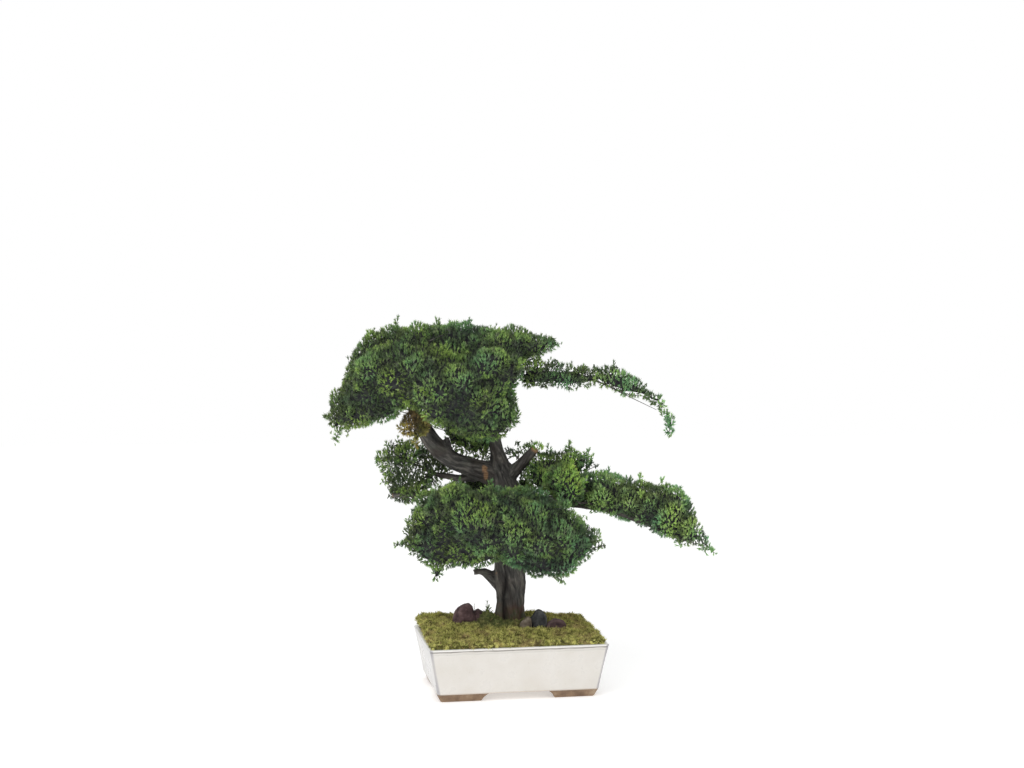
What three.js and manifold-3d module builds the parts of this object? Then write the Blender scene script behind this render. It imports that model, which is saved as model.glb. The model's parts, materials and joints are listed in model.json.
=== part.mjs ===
// Juniper bonsai with layered pads of foliage, planted in a rectangular glazed pot.
// Millimetres, +Z up. The origin is on the table under the middle of the pot, whose front faces -Y.

import * as THREE from 'three';
import { mergeVertices } from 'three/addons/utils/BufferGeometryUtils.js';
import { ImprovedNoise } from 'three/addons/math/ImprovedNoise.js';
import Module from 'manifold-3d';

const wasm = await Module();
wasm.setup();

// Driving dimensions

const gap = 0.35; // left free between two pieces that touch

const pot = {
  width: 380,
  depth: 288,
  height: 113.5,
  taper: 18.5, // how much each side leans in from the rim to the body's foot
  wall: 10,
  floor: 10,
  corner: 7, // radius of the upright edges
  lip: 4, // height of the rim band
  groove: 1.2, // depth of the line under the rim band
};

const foot = {
  height: 15.5,
  along: 108, // length on the pot's long side, at the top
  across: 84, // length on the pot's short side, at the top
  width: 22,
  inset: 7.5, // how much it draws in towards the table
  slope: 14, // how much its inner ends draw in
};

const drain = { radius: 14, offset: 88 };
const screen = { side: 46, thickness: 1.2, strip: 4, strips: 3 };

const moss = {
  thickness: 12,
  frontEdge: 2, // height above the rim along the front
  backEdge: 9, // height above the rim along the back
  leftRise: 11, // further height at the back left corner
  rightRise: 5, // further height along the right end
  dome: 25, // further height round the trunk
  cell: 29,
  tuft: 8,
};

// The tree's best side is turned this far from the pot's front.
const bestSide = THREE.MathUtils.degToRad(10.3);

// A slim shoot of foliage at its true size, and the share of the sprays that carry one
const shoot = { radius: 2.6, length: 17, share: 0.01 };

// Materials

function material(colour, roughness) {
  return new THREE.MeshStandardMaterial({ color: colour, roughness, metalness: 0 });
}

const creamGlaze = material(0xe6e1d8, 0.25);
const greyPlastic = material(0x3a3c3a, 0.6);
const darkSoil = material(0x3b2f25, 0.95);
const mossGreen = material(0x7d8a35, 0.95);
const bark = material(0x46403d, 0.9);
const purpleStone = material(0x54404a, 0.85);
const greyStone = material(0x474a4c, 0.85);
const tanStone = material(0x7d7468, 0.85);
const leafGreen = material(0x2f5a2b, 0.7);
const brightGreen = material(0x6f8a2c, 0.7);
const dyingOrange = material(0x9a7434, 0.8);
const weedGreen = material(0x5f7d3a, 0.8);

// Shared tools

// Places in the tree are given as seen from its best side: across to the right, back and up.
function place(across, back, up) {
  return new THREE.Vector3(
    across * Math.cos(bestSide) + back * Math.sin(bestSide),
    -across * Math.sin(bestSide) + back * Math.cos(bestSide),
    up,
  );
}

// A repeatable source of numbers from 0 to 1.
function seeded(seed) {
  let state = seed;
  return () => {
    state = (state + 0x6d2b79f5) | 0;
    let mixed = Math.imul(state ^ (state >>> 15), 1 | state);
    mixed = (mixed + Math.imul(mixed ^ (mixed >>> 7), 61 | mixed)) ^ mixed;
    return ((mixed ^ (mixed >>> 14)) >>> 0) / 4294967296;
  };
}

const noise = new ImprovedNoise();

function toSolid(geometry) {
  const bare = geometry.clone();
  bare.deleteAttribute('normal');
  bare.deleteAttribute('uv');
  const merged = mergeVertices(bare, 1e-4);
  return new wasm.Manifold(new wasm.Mesh({
    numProp: 3,
    vertProperties: new Float32Array(merged.attributes.position.array),
    triVerts: new Uint32Array(merged.index.array),
  }));
}

// The solid's outer body: loose scraps are dropped and sealed hollows filled.
function mainBody(solid) {
  return solid.decompose().reduce((best, body) => (body.volume() > best.volume() ? body : best));
}

function toMesh(name, solid, finish) {
  const source = mainBody(solid).getMesh();
  const geometry = new THREE.BufferGeometry();
  geometry.setAttribute('position', new THREE.BufferAttribute(new Float32Array(source.vertProperties), 3));
  geometry.setIndex(new THREE.BufferAttribute(new Uint32Array(source.triVerts), 1));
  const flat = geometry.toNonIndexed();
  flat.computeVertexNormals();
  const mesh = new THREE.Mesh(flat, finish);
  mesh.name = name;
  return mesh;
}

function fuse(solids) {
  return wasm.Manifold.union(solids).simplify(0.2);
}

// A closed solid through rings of equal length, each counter-clockwise seen from its far end.
function loft(rings, flatCaps = false) {
  const count = rings[0].length;
  const positions = [];
  const face = (a, b, c) => positions.push(...a.toArray(), ...b.toArray(), ...c.toArray());
  for (let level = 0; level + 1 < rings.length; level += 1) {
    for (let i = 0; i < count; i += 1) {
      const next = (i + 1) % count;
      face(rings[level][i], rings[level][next], rings[level + 1][next]);
      face(rings[level][i], rings[level + 1][next], rings[level + 1][i]);
    }
  }
  for (const [ring, reversed] of [[rings[0], true], [rings.at(-1), false]]) {
    const fan = flatCaps
      ? THREE.ShapeUtils.triangulateShape(ring.map((p) => new THREE.Vector2(p.x, p.y)), [])
      : ring.slice(2).map((point, i) => [0, i + 1, i + 2]);
    for (const [a, b, c] of fan) {
      if (reversed) face(ring[c], ring[b], ring[a]);
      else face(ring[a], ring[b], ring[c]);
    }
  }
  const geometry = new THREE.BufferGeometry();
  geometry.setAttribute('position', new THREE.Float32BufferAttribute(positions, 3));
  return geometry;
}

function roundedRectangle(halfWidth, halfDepth, radius, height) {
  const cornerSteps = 2;
  const ring = [];
  for (let corner = 0; corner < 4; corner += 1) {
    const signX = corner === 0 || corner === 3 ? 1 : -1;
    const signY = corner < 2 ? 1 : -1;
    for (let step = 0; step <= cornerSteps; step += 1) {
      const angle = ((corner + step / cornerSteps) * Math.PI) / 2;
      ring.push(new THREE.Vector3(
        signX * (halfWidth - radius) + radius * Math.cos(angle),
        signY * (halfDepth - radius) + radius * Math.sin(angle),
        height,
      ));
    }
  }
  return ring;
}

// The pot

// How far the pot's outer wall stands in from its rim at a height.
function wallInset(height) {
  return (pot.taper * (pot.height - height)) / (pot.height - foot.height);
}

function potRing(inset, height, radius = pot.corner) {
  return roundedRectangle(pot.width / 2 - inset, pot.depth / 2 - inset, radius, height);
}

const cavityFloor = foot.height + pot.floor;

function cornerFoot(signX, signY) {
  const ringAt = (height, inset, endInset) => {
    const outerX = pot.width / 2 - pot.taper - inset;
    const outerY = pot.depth / 2 - pot.taper - inset;
    const along = foot.along - inset - endInset;
    const across = foot.across - inset - endInset;
    const inner = foot.width - inset;
    const chamfer = 5;
    const outline = [
      [outerX, outerY - chamfer],
      [outerX - chamfer, outerY],
      [outerX - along, outerY],
      [outerX - along, outerY - inner],
      [outerX - inner, outerY - inner],
      [outerX - inner, outerY - across],
      [outerX, outerY - across],
    ];
    const ring = outline.map(([x, y]) => new THREE.Vector3(signX * x, signY * y, height));
    return signX * signY > 0 ? ring : ring.reverse();
  };
  return toSolid(loft([
    ringAt(0, foot.inset, foot.slope),
    ringAt(3, foot.inset - 2, foot.slope - 4),
    ringAt(foot.height - 4, 1.5, 4),
    ringAt(foot.height + 0.5, 0.5, 0),
  ], true));
}

function makePot() {
  const lipFoot = pot.height - pot.lip;
  const body = toSolid(loft([
    potRing(pot.taper + 1.5, foot.height),
    potRing(pot.taper - 0.5, foot.height + 2),
    potRing(wallInset(lipFoot - 2.5), lipFoot - 2.5),
    potRing(wallInset(lipFoot - 1) + pot.groove, lipFoot - 1),
    potRing(0, lipFoot),
    potRing(0, pot.height - 1.5),
    potRing(1.5, pot.height),
    potRing(pot.wall - 1.5, pot.height, 3),
    potRing(pot.wall, pot.height - 2, 3),
    potRing(pot.wall + wallInset(cavityFloor), cavityFloor, 3),
  ], true));
  const holes = [-1, 1].map((side) => {
    const hole = new THREE.CylinderGeometry(drain.radius, drain.radius, 4 * pot.floor, 16);
    hole.rotateX(Math.PI / 2);
    hole.translate(side * drain.offset, 0, foot.height);
    return toSolid(hole);
  });
  const feet = [[1, 1], [-1, 1], [-1, -1], [1, -1]].map(([x, y]) => cornerFoot(x, y));
  return toMesh('pot', fuse([body, ...feet]).subtract(fuse(holes)), creamGlaze);
}

// A square of plastic netting over each drain hole keeps the soil in.
function makeScreen(side) {
  const strips = [];
  for (let i = 0; i < screen.strips; i += 1) {
    const offset = (i / (screen.strips - 1) - 0.5) * (screen.side - screen.strip);
    const lengthwise = new THREE.BoxGeometry(screen.side, screen.strip, screen.thickness);
    const crosswise = new THREE.BoxGeometry(screen.strip, screen.side, screen.thickness);
    strips.push(toSolid(lengthwise.translate(0, offset, 0)), toSolid(crosswise.translate(offset, 0, 0)));
  }
  const lift = cavityFloor + gap + screen.thickness / 2;
  const net = fuse(strips).translate([side * drain.offset, 0, lift]);
  return toMesh(side < 0 ? 'drain_screen_left' : 'drain_screen_right', net, greyPlastic);
}

// Soil and moss

function mossHeight(x, y) {
  const u = Math.min(1, Math.abs(x) / (pot.width / 2));
  const v = Math.min(1, Math.abs(y) / (pot.depth / 2));
  const back = THREE.MathUtils.smoothstep(y, -pot.depth / 2, pot.depth / 2);
  const left = THREE.MathUtils.smoothstep(-x, 0, pot.width / 2);
  const right = THREE.MathUtils.smoothstep(x, 0.3 * pot.width, 0.5 * pot.width);
  const rim = moss.frontEdge + moss.rightRise * right;
  const edge = THREE.MathUtils.lerp(rim, moss.backEdge + moss.leftRise * left, back);
  const rolling = 2.5 * noise.noise(x / 34, y / 34, 0.5);
  return pot.height + edge + moss.dome * (1 - u * u) * (1 - v * v) + rolling;
}

// How far the inside of the pot stands in from the rim's outer edge at a height.
function cavityInset(height) {
  const share = (pot.height - 2 - height) / (pot.height - 2 - cavityFloor);
  return pot.wall + wallInset(cavityFloor) * THREE.MathUtils.clamp(share, 0, 1);
}

// A block that fills the pot's plan from a floor up to a height formula. Cells may be drawn up to a point.
function mound({ topAt, bottom, cell, tuft = 0, clearance = gap, random }) {
  const columns = Math.round(pot.width / cell);
  const rows = Math.round(pot.depth / cell);
  const cornerCut = 2;
  const fitted = (u, v, height) => {
    const inset = cavityInset(height) + clearance;
    const corner = Math.abs(u) === 1 && Math.abs(v) === 1 ? cornerCut : 0;
    return [u * (pot.width / 2 - inset - corner), v * (pot.depth / 2 - inset - corner)];
  };
  const unit = (i, count) => (2 * i) / count - 1;
  const top = [];
  const low = [];
  for (let i = 0; i <= columns; i += 1) {
    top.push([]);
    low.push([]);
    for (let j = 0; j <= rows; j += 1) {
      const [u, v] = [unit(i, columns), unit(j, rows)];
      const [nearX, nearY] = fitted(u, v, pot.height);
      const height = topAt(nearX, nearY);
      top[i].push(new THREE.Vector3(...fitted(u, v, height), height));
      low[i].push(new THREE.Vector3(...fitted(u, v, bottom), bottom));
    }
  }
  const positions = [];
  const face = (...corners) => corners.forEach((p) => positions.push(p.x, p.y, p.z));
  for (let i = 0; i < columns; i += 1) {
    for (let j = 0; j < rows; j += 1) {
      const [a, b, c, d] = [top[i][j], top[i + 1][j], top[i + 1][j + 1], top[i][j + 1]];
      if (tuft > 0) {
        const near = a.clone().lerp(b, 0.3 + 0.4 * random());
        const tip = near.lerp(c.clone().lerp(d, 0.5), 0.3 + 0.4 * random());
        tip.z += tuft * (0.4 + 0.9 * random());
        face(a, b, tip, b, c, tip, c, d, tip, d, a, tip);
      } else {
        face(a, b, c, a, c, d);
      }
    }
  }
  const walls = [];
  for (let i = 0; i < columns; i += 1) walls.push([i + 1, 0, i, 0], [i, rows, i + 1, rows]);
  for (let j = 0; j < rows; j += 1) walls.push([0, j, 0, j + 1], [columns, j + 1, columns, j]);
  const middle = new THREE.Vector3(0, 0, bottom);
  for (const [i, j, k, l] of walls) {
    face(top[i][j], top[k][l], low[i][j], top[k][l], low[k][l], low[i][j]);
    face(low[i][j], low[k][l], middle);
  }
  const geometry = new THREE.BufferGeometry();
  geometry.setAttribute('position', new THREE.Float32BufferAttribute(positions, 3));
  return toSolid(geometry);
}

const soilTop = (x, y) => mossHeight(x, y) - moss.thickness;
const soilCell = 48;

function makeSoilSolid() {
  return mound({ topAt: soilTop, bottom: cavityFloor + screen.thickness + 3 * gap, cell: soilCell });
}

function makeMossSolid() {
  const block = mound({
    topAt: mossHeight,
    bottom: pot.height - 25,
    cell: moss.cell,
    tuft: moss.tuft,
    random: seeded(11),
  });
  const under = mound({
    topAt: (x, y) => soilTop(x, y) + 1.2,
    bottom: pot.height - 40,
    cell: soilCell,
    clearance: -3,
  });
  return block.subtract(under);
}

// Stones

const stones = [
  { name: 'stone_left', finish: purpleStone, at: [-96, 4, 148], size: [27, 25, 33], lean: 0.25, seed: 3 },
  {
    name: 'stone_left_low',
    finish: purpleStone,
    at: [-64, 16, 146],
    size: [17, 20, 21],
    lean: -0.1,
    seed: 9,
  },
  { name: 'stone_tan', finish: tanStone, at: [35, -33, 135], size: [13, 15, 25], lean: 0.2, seed: 21 },
  { name: 'stone_dark', finish: greyStone, at: [64, -9, 140], size: [19, 23, 30], lean: 0, seed: 5 },
  { name: 'stone_right', finish: purpleStone, at: [102, -12, 132], size: [23, 19, 18], lean: 0, seed: 14 },
  { name: 'stone_flat', finish: greyStone, at: [-38, -28, 131], size: [17, 11, 8], lean: -0.35, seed: 30 },
];

// A boulder: a ball cut back to a few broken planes, with a flat foot on the soil.
function stoneSolid({ at, size, lean, seed }, grow = 0) {
  const random = seeded(seed);
  const planes = [];
  for (let i = 0; i < 9; i += 1) {
    const away = new THREE.Vector3(random() - 0.5, random() - 0.5, 0.9 * random() - 0.25);
    away.normalize();
    planes.push({ away, reach: 0.74 + 0.2 * random() });
  }
  const geometry = new THREE.IcosahedronGeometry(1, 2);
  const positions = geometry.attributes.position;
  const point = new THREE.Vector3();
  const where = place(...at);
  const seat = soilTop(where.x, where.y) - where.z + 3;
  for (let i = 0; i < positions.count; i += 1) {
    point.fromBufferAttribute(positions, i).normalize();
    let reach = 1;
    for (const plane of planes) {
      const facing = point.dot(plane.away);
      if (facing > plane.reach) reach = Math.min(reach, plane.reach / facing);
    }
    point.multiplyScalar(reach).multiply(new THREE.Vector3(...size).addScalar(grow));
    const height = Math.max(point.z, seat - grow);
    positions.setXYZ(i, point.x + lean * height, point.y, height);
  }
  geometry.rotateZ(-bestSide);
  geometry.translate(where.x, where.y, where.z);
  return toSolid(geometry);
}

// The plain hole in the moss that a stone lies in
function stoneHole({ at, size, lean }) {
  const reach = 1.5 * size[2];
  const hole = new THREE.CylinderGeometry(1, 1, 2 * reach, 10);
  hole.rotateX(Math.PI / 2);
  hole.scale(1.03 * size[0] + gap, 1.03 * size[1] + gap, 1);
  const positions = hole.attributes.position;
  for (let i = 0; i < positions.count; i += 1) {
    positions.setX(i, positions.getX(i) + lean * positions.getZ(i));
  }
  const where = place(...at);
  hole.rotateZ(-bestSide);
  return toSolid(hole.translate(where.x, where.y, where.z));
}

function makeStones(woodSpace) {
  const taken = [woodSpace];
  return stones.map((stone) => {
    const solid = stoneSolid(stone).subtract(fuse(taken)).simplify(gap);
    taken.push(stoneSolid(stone, 2 * gap));
    return toMesh(stone.name, solid, stone.finish);
  });
}

// Weeds that stand in the moss: a round stem with narrow leaves up and round it

const weeds = [
  { name: 'weed_left', at: [-47, 44], height: 42, leaves: 8, spread: 12, seed: 41 },
  { name: 'weed_thin', at: [-76, 40], height: 34, leaves: 4, spread: 5, seed: 42 },
  { name: 'weed_bushy', at: [-44, 2], height: 27, leaves: 8, spread: 16, seed: 43 },
];
const weedStem = { radius: 1.6, sunk: 9 };

function weedFoot({ at: [across, back] }) {
  const foot = place(across, back, 0);
  return foot.setZ(mossHeight(foot.x, foot.y));
}

function makeWeed({ name, at, height, leaves, spread, seed }) {
  const random = seeded(seed);
  const foot = weedFoot({ at });
  const stem = new THREE.ConeGeometry(weedStem.radius, height + weedStem.sunk, 4, 1);
  stem.rotateX(Math.PI / 2);
  stem.translate(foot.x, foot.y, foot.z + (height - weedStem.sunk) / 2);
  const solids = [toSolid(stem)];
  for (let i = 0; i < leaves; i += 1) {
    const rise = 0.3 + (0.6 * i) / leaves;
    const turn = 2.4 * i;
    const length = spread * (1.15 - 0.5 * rise);
    const towards = new THREE.Vector3(Math.cos(turn), Math.sin(turn), 0.7 + 0.5 * random()).normalize();
    const from = foot.clone().setZ(foot.z + rise * height);
    solids.push(thorn(from, from.clone().addScaledVector(towards, length), 1.3, 3));
  }
  return toMesh(name, fuse(solids), weedGreen);
}

function weedHole(weed) {
  const foot = weedFoot(weed);
  const hole = new THREE.CylinderGeometry(weedStem.radius + 1, weedStem.radius + 1, 60, 6);
  hole.rotateX(Math.PI / 2);
  return toSolid(hole.translate(foot.x, foot.y, foot.z + 21 - weedStem.sunk / 2 + 3));
}

// Trunk, roots and limbs, each a list of [across, back, up, radius] along its middle.
// A limb that carries a pad ends a little way inside it.

const limbs = {
  trunk: {
    sides: 11,
    step: 26,
    flute: { count: 5, depth: 0.07, twist: 1.6 },
    path: [
      [2, 22, 108, 40], [3, 22, 138, 35], [5, 21, 165, 29], [6, 20, 190, 29], [5, 20, 215, 31],
      [3, 20, 245, 33], [0, 22, 290, 31], [-4, 27, 335, 30], [-9, 32, 385, 31], [-12, 35, 430, 33],
      [-17, 37, 463, 28], [-22, 38, 492, 19], [-29, 36, 532, 12.5], [-38, 30, 590, 11], [-50, 22, 635, 8],
    ],
  },
  buttress: {
    sides: 8,
    step: 24,
    flute: { count: 3, depth: 0.1, twist: 1 },
    path: [[-22, 8, 112, 22], [-16, 6, 150, 17], [-13, 6, 190, 14], [-18, 10, 228, 15], [-18, 16, 275, 12]],
  },
  left_limb: {
    sides: 9,
    step: 24,
    flute: { count: 4, depth: 0.07, twist: 1.2 },
    path: [
      [-8, 35, 432, 24], [-45, 34, 460, 25], [-80, 30, 472, 22], [-113, 24, 485, 20.5],
      [-142, 16, 506, 20], [-166, 6, 533, 20], [-187, 0, 567, 17], [-204, -4, 606, 13.5],
      [-218, -8, 645, 10],
    ],
  },
  left_limb_knob: {
    sides: 6,
    step: 16,
    path: [[-130, 18, 505, 12], [-133, 13, 528, 9], [-133, 10, 541, 5]],
  },
  right_stub: {
    sides: 8,
    step: 16,
    flute: { count: 3, depth: 0.09, twist: 1 },
    path: [[-5, 36, 452, 22], [20, 30, 474, 14], [39, 22, 495, 11.5], [58, 15, 517, 10]],
  },
  broken_stub: {
    sides: 7,
    step: 18,
    flute: { count: 3, depth: 0.1, twist: 1 },
    path: [
      [0, 20, 205, 22], [-22, 15, 223, 16.5], [-42, 11, 240, 12], [-58, 8, 250, 8.5], [-73, 7, 249, 4],
    ],
  },
  cut_limb: {
    sides: 6,
    step: 65,
    path: [[-8, 40, 395, 14], [-70, 62, 414, 9], [-160, 68, 413, 7], [-257, 62, 409, 6.5]],
  },
  mid_left_limb: { sides: 5, step: 60, path: [[-50, 38, 455, 12], [-110, 62, 447, 9], [-165, 80, 455, 6]] },
  arching_limb: {
    sides: 4,
    step: 60,
    path: [[-10, 0, 640, 8], [28, -10, 662, 7], [70, -22, 668, 5.5], [115, -28, 667, 4.5]],
  },
  low_left_limb: { sides: 5, step: 60, path: [[-2, 18, 300, 16], [-36, -12, 315, 12], [-66, -36, 326, 8]] },
  low_front_limb: { sides: 5, step: 60, path: [[4, 5, 315, 15], [4, -26, 327, 11], [5, -56, 337, 8]] },
  low_right_limb: { sides: 5, step: 60, path: [[8, 15, 305, 16], [36, -12, 318, 12], [62, -38, 327, 8]] },
  right_limb: {
    sides: 6,
    step: 42,
    flute: { count: 3, depth: 0.06, twist: 1 },
    path: [
      [-5, 34, 395, 18], [45, 22, 406, 13], [100, 8, 403, 11], [155, -8, 397, 9.5], [200, -22, 391, 8.5],
      [240, -38, 382, 7.5], [285, -58, 364, 6],
    ],
  },
  back_left_limb: { sides: 5, step: 60, path: [[-2, 40, 350, 14], [-20, 75, 360, 10], [-40, 105, 366, 7]] },
  back_right_limb: { sides: 5, step: 60, path: [[2, 38, 335, 14], [25, 75, 348, 10], [50, 105, 358, 7]] },
};

const roots = [
  { towards: 195, length: 62 },
  { towards: 250, length: 58 },
  { towards: 310, length: 60 },
  { towards: 10, length: 64 },
  { towards: 80, length: 55 },
  { towards: 140, length: 60 },
];

// A limb as a solid: its section shrinks along the path and its bark is drawn into flutes.
function limbSolid({ path, sides, step, flute = { count: 2, depth: 0.05, twist: 0 } }, grow = 0) {
  const middle = new THREE.CatmullRomCurve3(path.map(([across, back, up]) => place(across, back, up)));
  const girth = new THREE.CatmullRomCurve3(path.map((stop, i) => new THREE.Vector3(stop[3], i, 0)));
  const count = Math.max(2, Math.round(middle.getLength() / step));
  const frames = middle.computeFrenetFrames(count, false);
  const spans = path.length - 1;
  const rings = [];
  for (let i = 0; i <= count; i += 1) {
    const along = middle.getUtoTmapping(i / count);
    const centre = middle.getPoint(along);
    const radius = girth.getPoint(along).x;
    const ring = [];
    for (let side = 0; side < sides; side += 1) {
      const angle = (side / sides) * 2 * Math.PI;
      const turned = flute.count * (angle + (flute.twist * along * spans) / 4);
      const outward = frames.normals[i].clone().multiplyScalar(Math.cos(angle));
      outward.addScaledVector(frames.binormals[i], Math.sin(angle));
      const reach = radius * (1 + flute.depth * Math.cos(turned)) + grow;
      ring.push(centre.clone().addScaledVector(outward, reach));
    }
    rings.push(ring);
  }
  return toSolid(loft(rings));
}

function rootSolid({ towards, length }, grow) {
  const angle = THREE.MathUtils.degToRad(towards);
  const stops = [[0.2, 144, 15], [0.6, 131, 12], [1, 112, 7]];
  const path = stops.map(([share, up, radius]) => [
    2 + share * length * Math.cos(angle),
    22 + 0.75 * share * length * Math.sin(angle),
    up,
    radius,
  ]);
  return limbSolid({ path, sides: 5, step: 36 }, grow);
}

function makeWoodSolid(grow) {
  return fuse([
    ...Object.values(limbs).map((limb) => limbSolid(limb, grow)),
    ...roots.map((root) => rootSolid(root, grow)),
  ]);
}

// Foliage

// A head is a dense bush seen outwards from its heart. Its outline is the furthest reach of its
// bunches, each [across, back, up, reach sideways, reach upwards]. Spread is the rough size of the
// whole, and each tip is a lone spray beyond the outline, [from, to, radius].
const heads = {
  crown: {
    finish: leafGreen,
    heart: [-140, 5, 672],
    spread: [260, 190, 125],
    detail: 6,
    tuft: 24,
    bunches: [
      [-335, -18, 612, 68, 50], [-300, -78, 640, 66, 52], [-308, 68, 632, 66, 50], [-292, -8, 692, 74, 60],
      [-262, -92, 688, 68, 56], [-262, 84, 692, 68, 54], [-258, -8, 738, 72, 50], [-268, -50, 622, 60, 50],
      [-364, 4, 576, 36, 32], [-325, -58, 580, 42, 34], [-362, 8, 558, 26, 34], [-305, 20, 588, 44, 38],
      [-380, 4, 572, 40, 42],
      [-180, -125, 690, 74, 60], [-185, -50, 738, 72, 56], [-172, 55, 736, 72, 54],
      [-150, -118, 622, 66, 52], [-140, 5, 672, 110, 80], [-118, -82, 598, 54, 46], [-142, -60, 578, 42, 32],
      [-92, -136, 655, 70, 62], [-98, -55, 742, 70, 58], [-92, 62, 736, 70, 52], [-32, -96, 696, 72, 60],
      [-22, -18, 735, 72, 56], [-30, 78, 706, 72, 56], [-58, -114, 594, 62, 50], [-28, -58, 602, 64, 60],
      [-78, -56, 546, 40, 38], [-18, -40, 568, 48, 40], [2, -40, 557, 42, 40], [-82, 46, 540, 48, 48],
      [-80, 60, 545, 50, 40],
      [50, -22, 745, 60, 42], [50, 40, 735, 50, 38], [18, -66, 735, 50, 44], [82, -12, 735, 34, 26],
      [-192, 118, 690, 66, 54], [-122, 126, 690, 64, 56], [-52, 122, 668, 60, 52], [-250, 122, 662, 54, 46],
      [-122, 106, 620, 60, 42], [-46, 66, 622, 66, 50], [-190, 86, 630, 52, 40],
    ],
    tips: [
      [[-354, -8, 586], [-375, -12, 528], 13], [[-368, 14, 588], [-399, 10, 583], 10],
      [[88, -16, 742], [120, -20, 744], 9], [[-345, 20, 570], [-352, 30, 540], 9],
      [[-124, 58, 570], [-122, 62, 502], 24], [[-96, 60, 575], [-94, 64, 486], 27],
      [[-64, 60, 572], [-60, 64, 480], 27], [[-40, 62, 565], [-42, 66, 494], 20],
      [[-80, 66, 572], [-78, 70, 478], 26], [[-110, 66, 572], [-108, 70, 492], 26],
      [[-50, 66, 570], [-50, 70, 474], 24],
    ],
  },
  crown_dying: {
    finish: dyingOrange,
    heart: [-205, -44, 574],
    spread: [1, 1, 1],
    detail: 1,
    tuft: 11,
    bunches: [[-214, -34, 566, 28, 34], [-200, -48, 590, 26, 30], [-188, -62, 566, 30, 24]],
    tips: [[[-198, -56, 548], [-192, -60, 522], 8]],
  },
  mid_left_pad: {
    finish: leafGreen,
    heart: [-222, 88, 468],
    spread: [75, 55, 55],
    detail: 2,
    tuft: 18,
    bunches: [
      [-260, 90, 484, 46, 38], [-215, 74, 508, 48, 28], [-230, 100, 440, 52, 34], [-172, 96, 468, 44, 32],
      [-192, 66, 424, 46, 32], [-276, 96, 474, 28, 26], [-140, 84, 492, 30, 34], [-120, 88, 472, 36, 28],
      [-236, 84, 402, 50, 42],
    ],
    tips: [[[-262, 84, 440], [-284, 78, 436], 9], [[-222, 84, 415], [-236, 80, 392], 9]],
  },
  low_pad: {
    finish: leafGreen,
    heart: [-15, -80, 352],
    spread: [215, 125, 98],
    detail: 4,
    tuft: 24,
    bunches: [
      [-148, -62, 352, 76, 62], [-200, -44, 328, 44, 38], [-118, -104, 402, 70, 58],
      [-58, -136, 352, 68, 56],
      [-58, -100, 406, 68, 50], [-110, -66, 300, 62, 50], [-160, -30, 398, 56, 50], [-78, -50, 352, 66, 54],
      [-202, -66, 310, 42, 34], [-156, -70, 272, 36, 36], [-15, -80, 355, 90, 64], [-66, -84, 292, 46, 38],
      [8, -144, 345, 68, 56], [18, -108, 402, 68, 50], [66, -132, 345, 68, 58], [94, -88, 400, 66, 50],
      [112, -98, 328, 68, 62], [156, -62, 314, 50, 44], [76, -98, 272, 68, 44], [120, -28, 370, 52, 48],
      [174, -58, 326, 44, 40], [50, -60, 350, 60, 52], [118, -84, 280, 46, 36],
    ],
    tips: [
      [[-158, -66, 262], [-164, -70, 236], 9], [[-228, -50, 318], [-252, -56, 314], 9],
      [[190, -60, 312], [214, -64, 318], 9], [[102, -96, 252], [124, -100, 240], 9],
    ],
  },
  right_rising_pad: {
    finish: leafGreen,
    heart: [124, 20, 462],
    spread: [60, 50, 50],
    detail: 2,
    tuft: 18,
    bunches: [
      [88, 24, 452, 56, 46], [134, 32, 484, 46, 44], [140, -10, 452, 52, 46], [64, 36, 474, 48, 50],
      [162, 22, 466, 46, 44], [156, 8, 428, 50, 48],
    ],
    tips: [[[132, 30, 512], [134, 28, 540], 8], [[160, 20, 498], [176, 18, 516], 8]],
  },
  right_bright_pad: {
    finish: brightGreen,
    heart: [122, -62, 440],
    spread: [44, 36, 55],
    detail: 1,
    tuft: 16,
    bunches: [
      [116, -64, 466, 46, 46], [134, -66, 432, 42, 44], [134, -72, 400, 34, 32], [96, -58, 440, 38, 44],
    ],
    tips: [],
  },
  back_pad: {
    finish: leafGreen,
    heart: [0, 130, 365],
    spread: [140, 75, 60],
    detail: 2,
    tuft: 20,
    bunches: [
      [-58, 122, 368, 70, 42], [22, 128, 362, 74, 48], [84, 108, 376, 58, 42], [-18, 158, 336, 54, 36],
      [-108, 122, 352, 52, 38], [-86, 106, 432, 66, 50], [-20, 112, 420, 50, 44],
      [-134, 104, 422, 42, 44],
    ],
    tips: [
      [[-140, 126, 340], [-168, 132, 328], 9], [[-10, 196, 332], [-6, 222, 322], 9],
      [[42, 106, 378], [34, 84, 474], 30],
    ],
  },
  stub_sprigs: {
    finish: leafGreen,
    heart: [10, 53, 504],
    spread: [20, 18, 16],
    detail: 1,
    tuft: 9,
    bunches: [[2, 52, 508, 20, 18], [18, 54, 500, 18, 18]],
    tips: [[[20, 52, 504], [62, 28, 534], 12]],
  },
};

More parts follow.
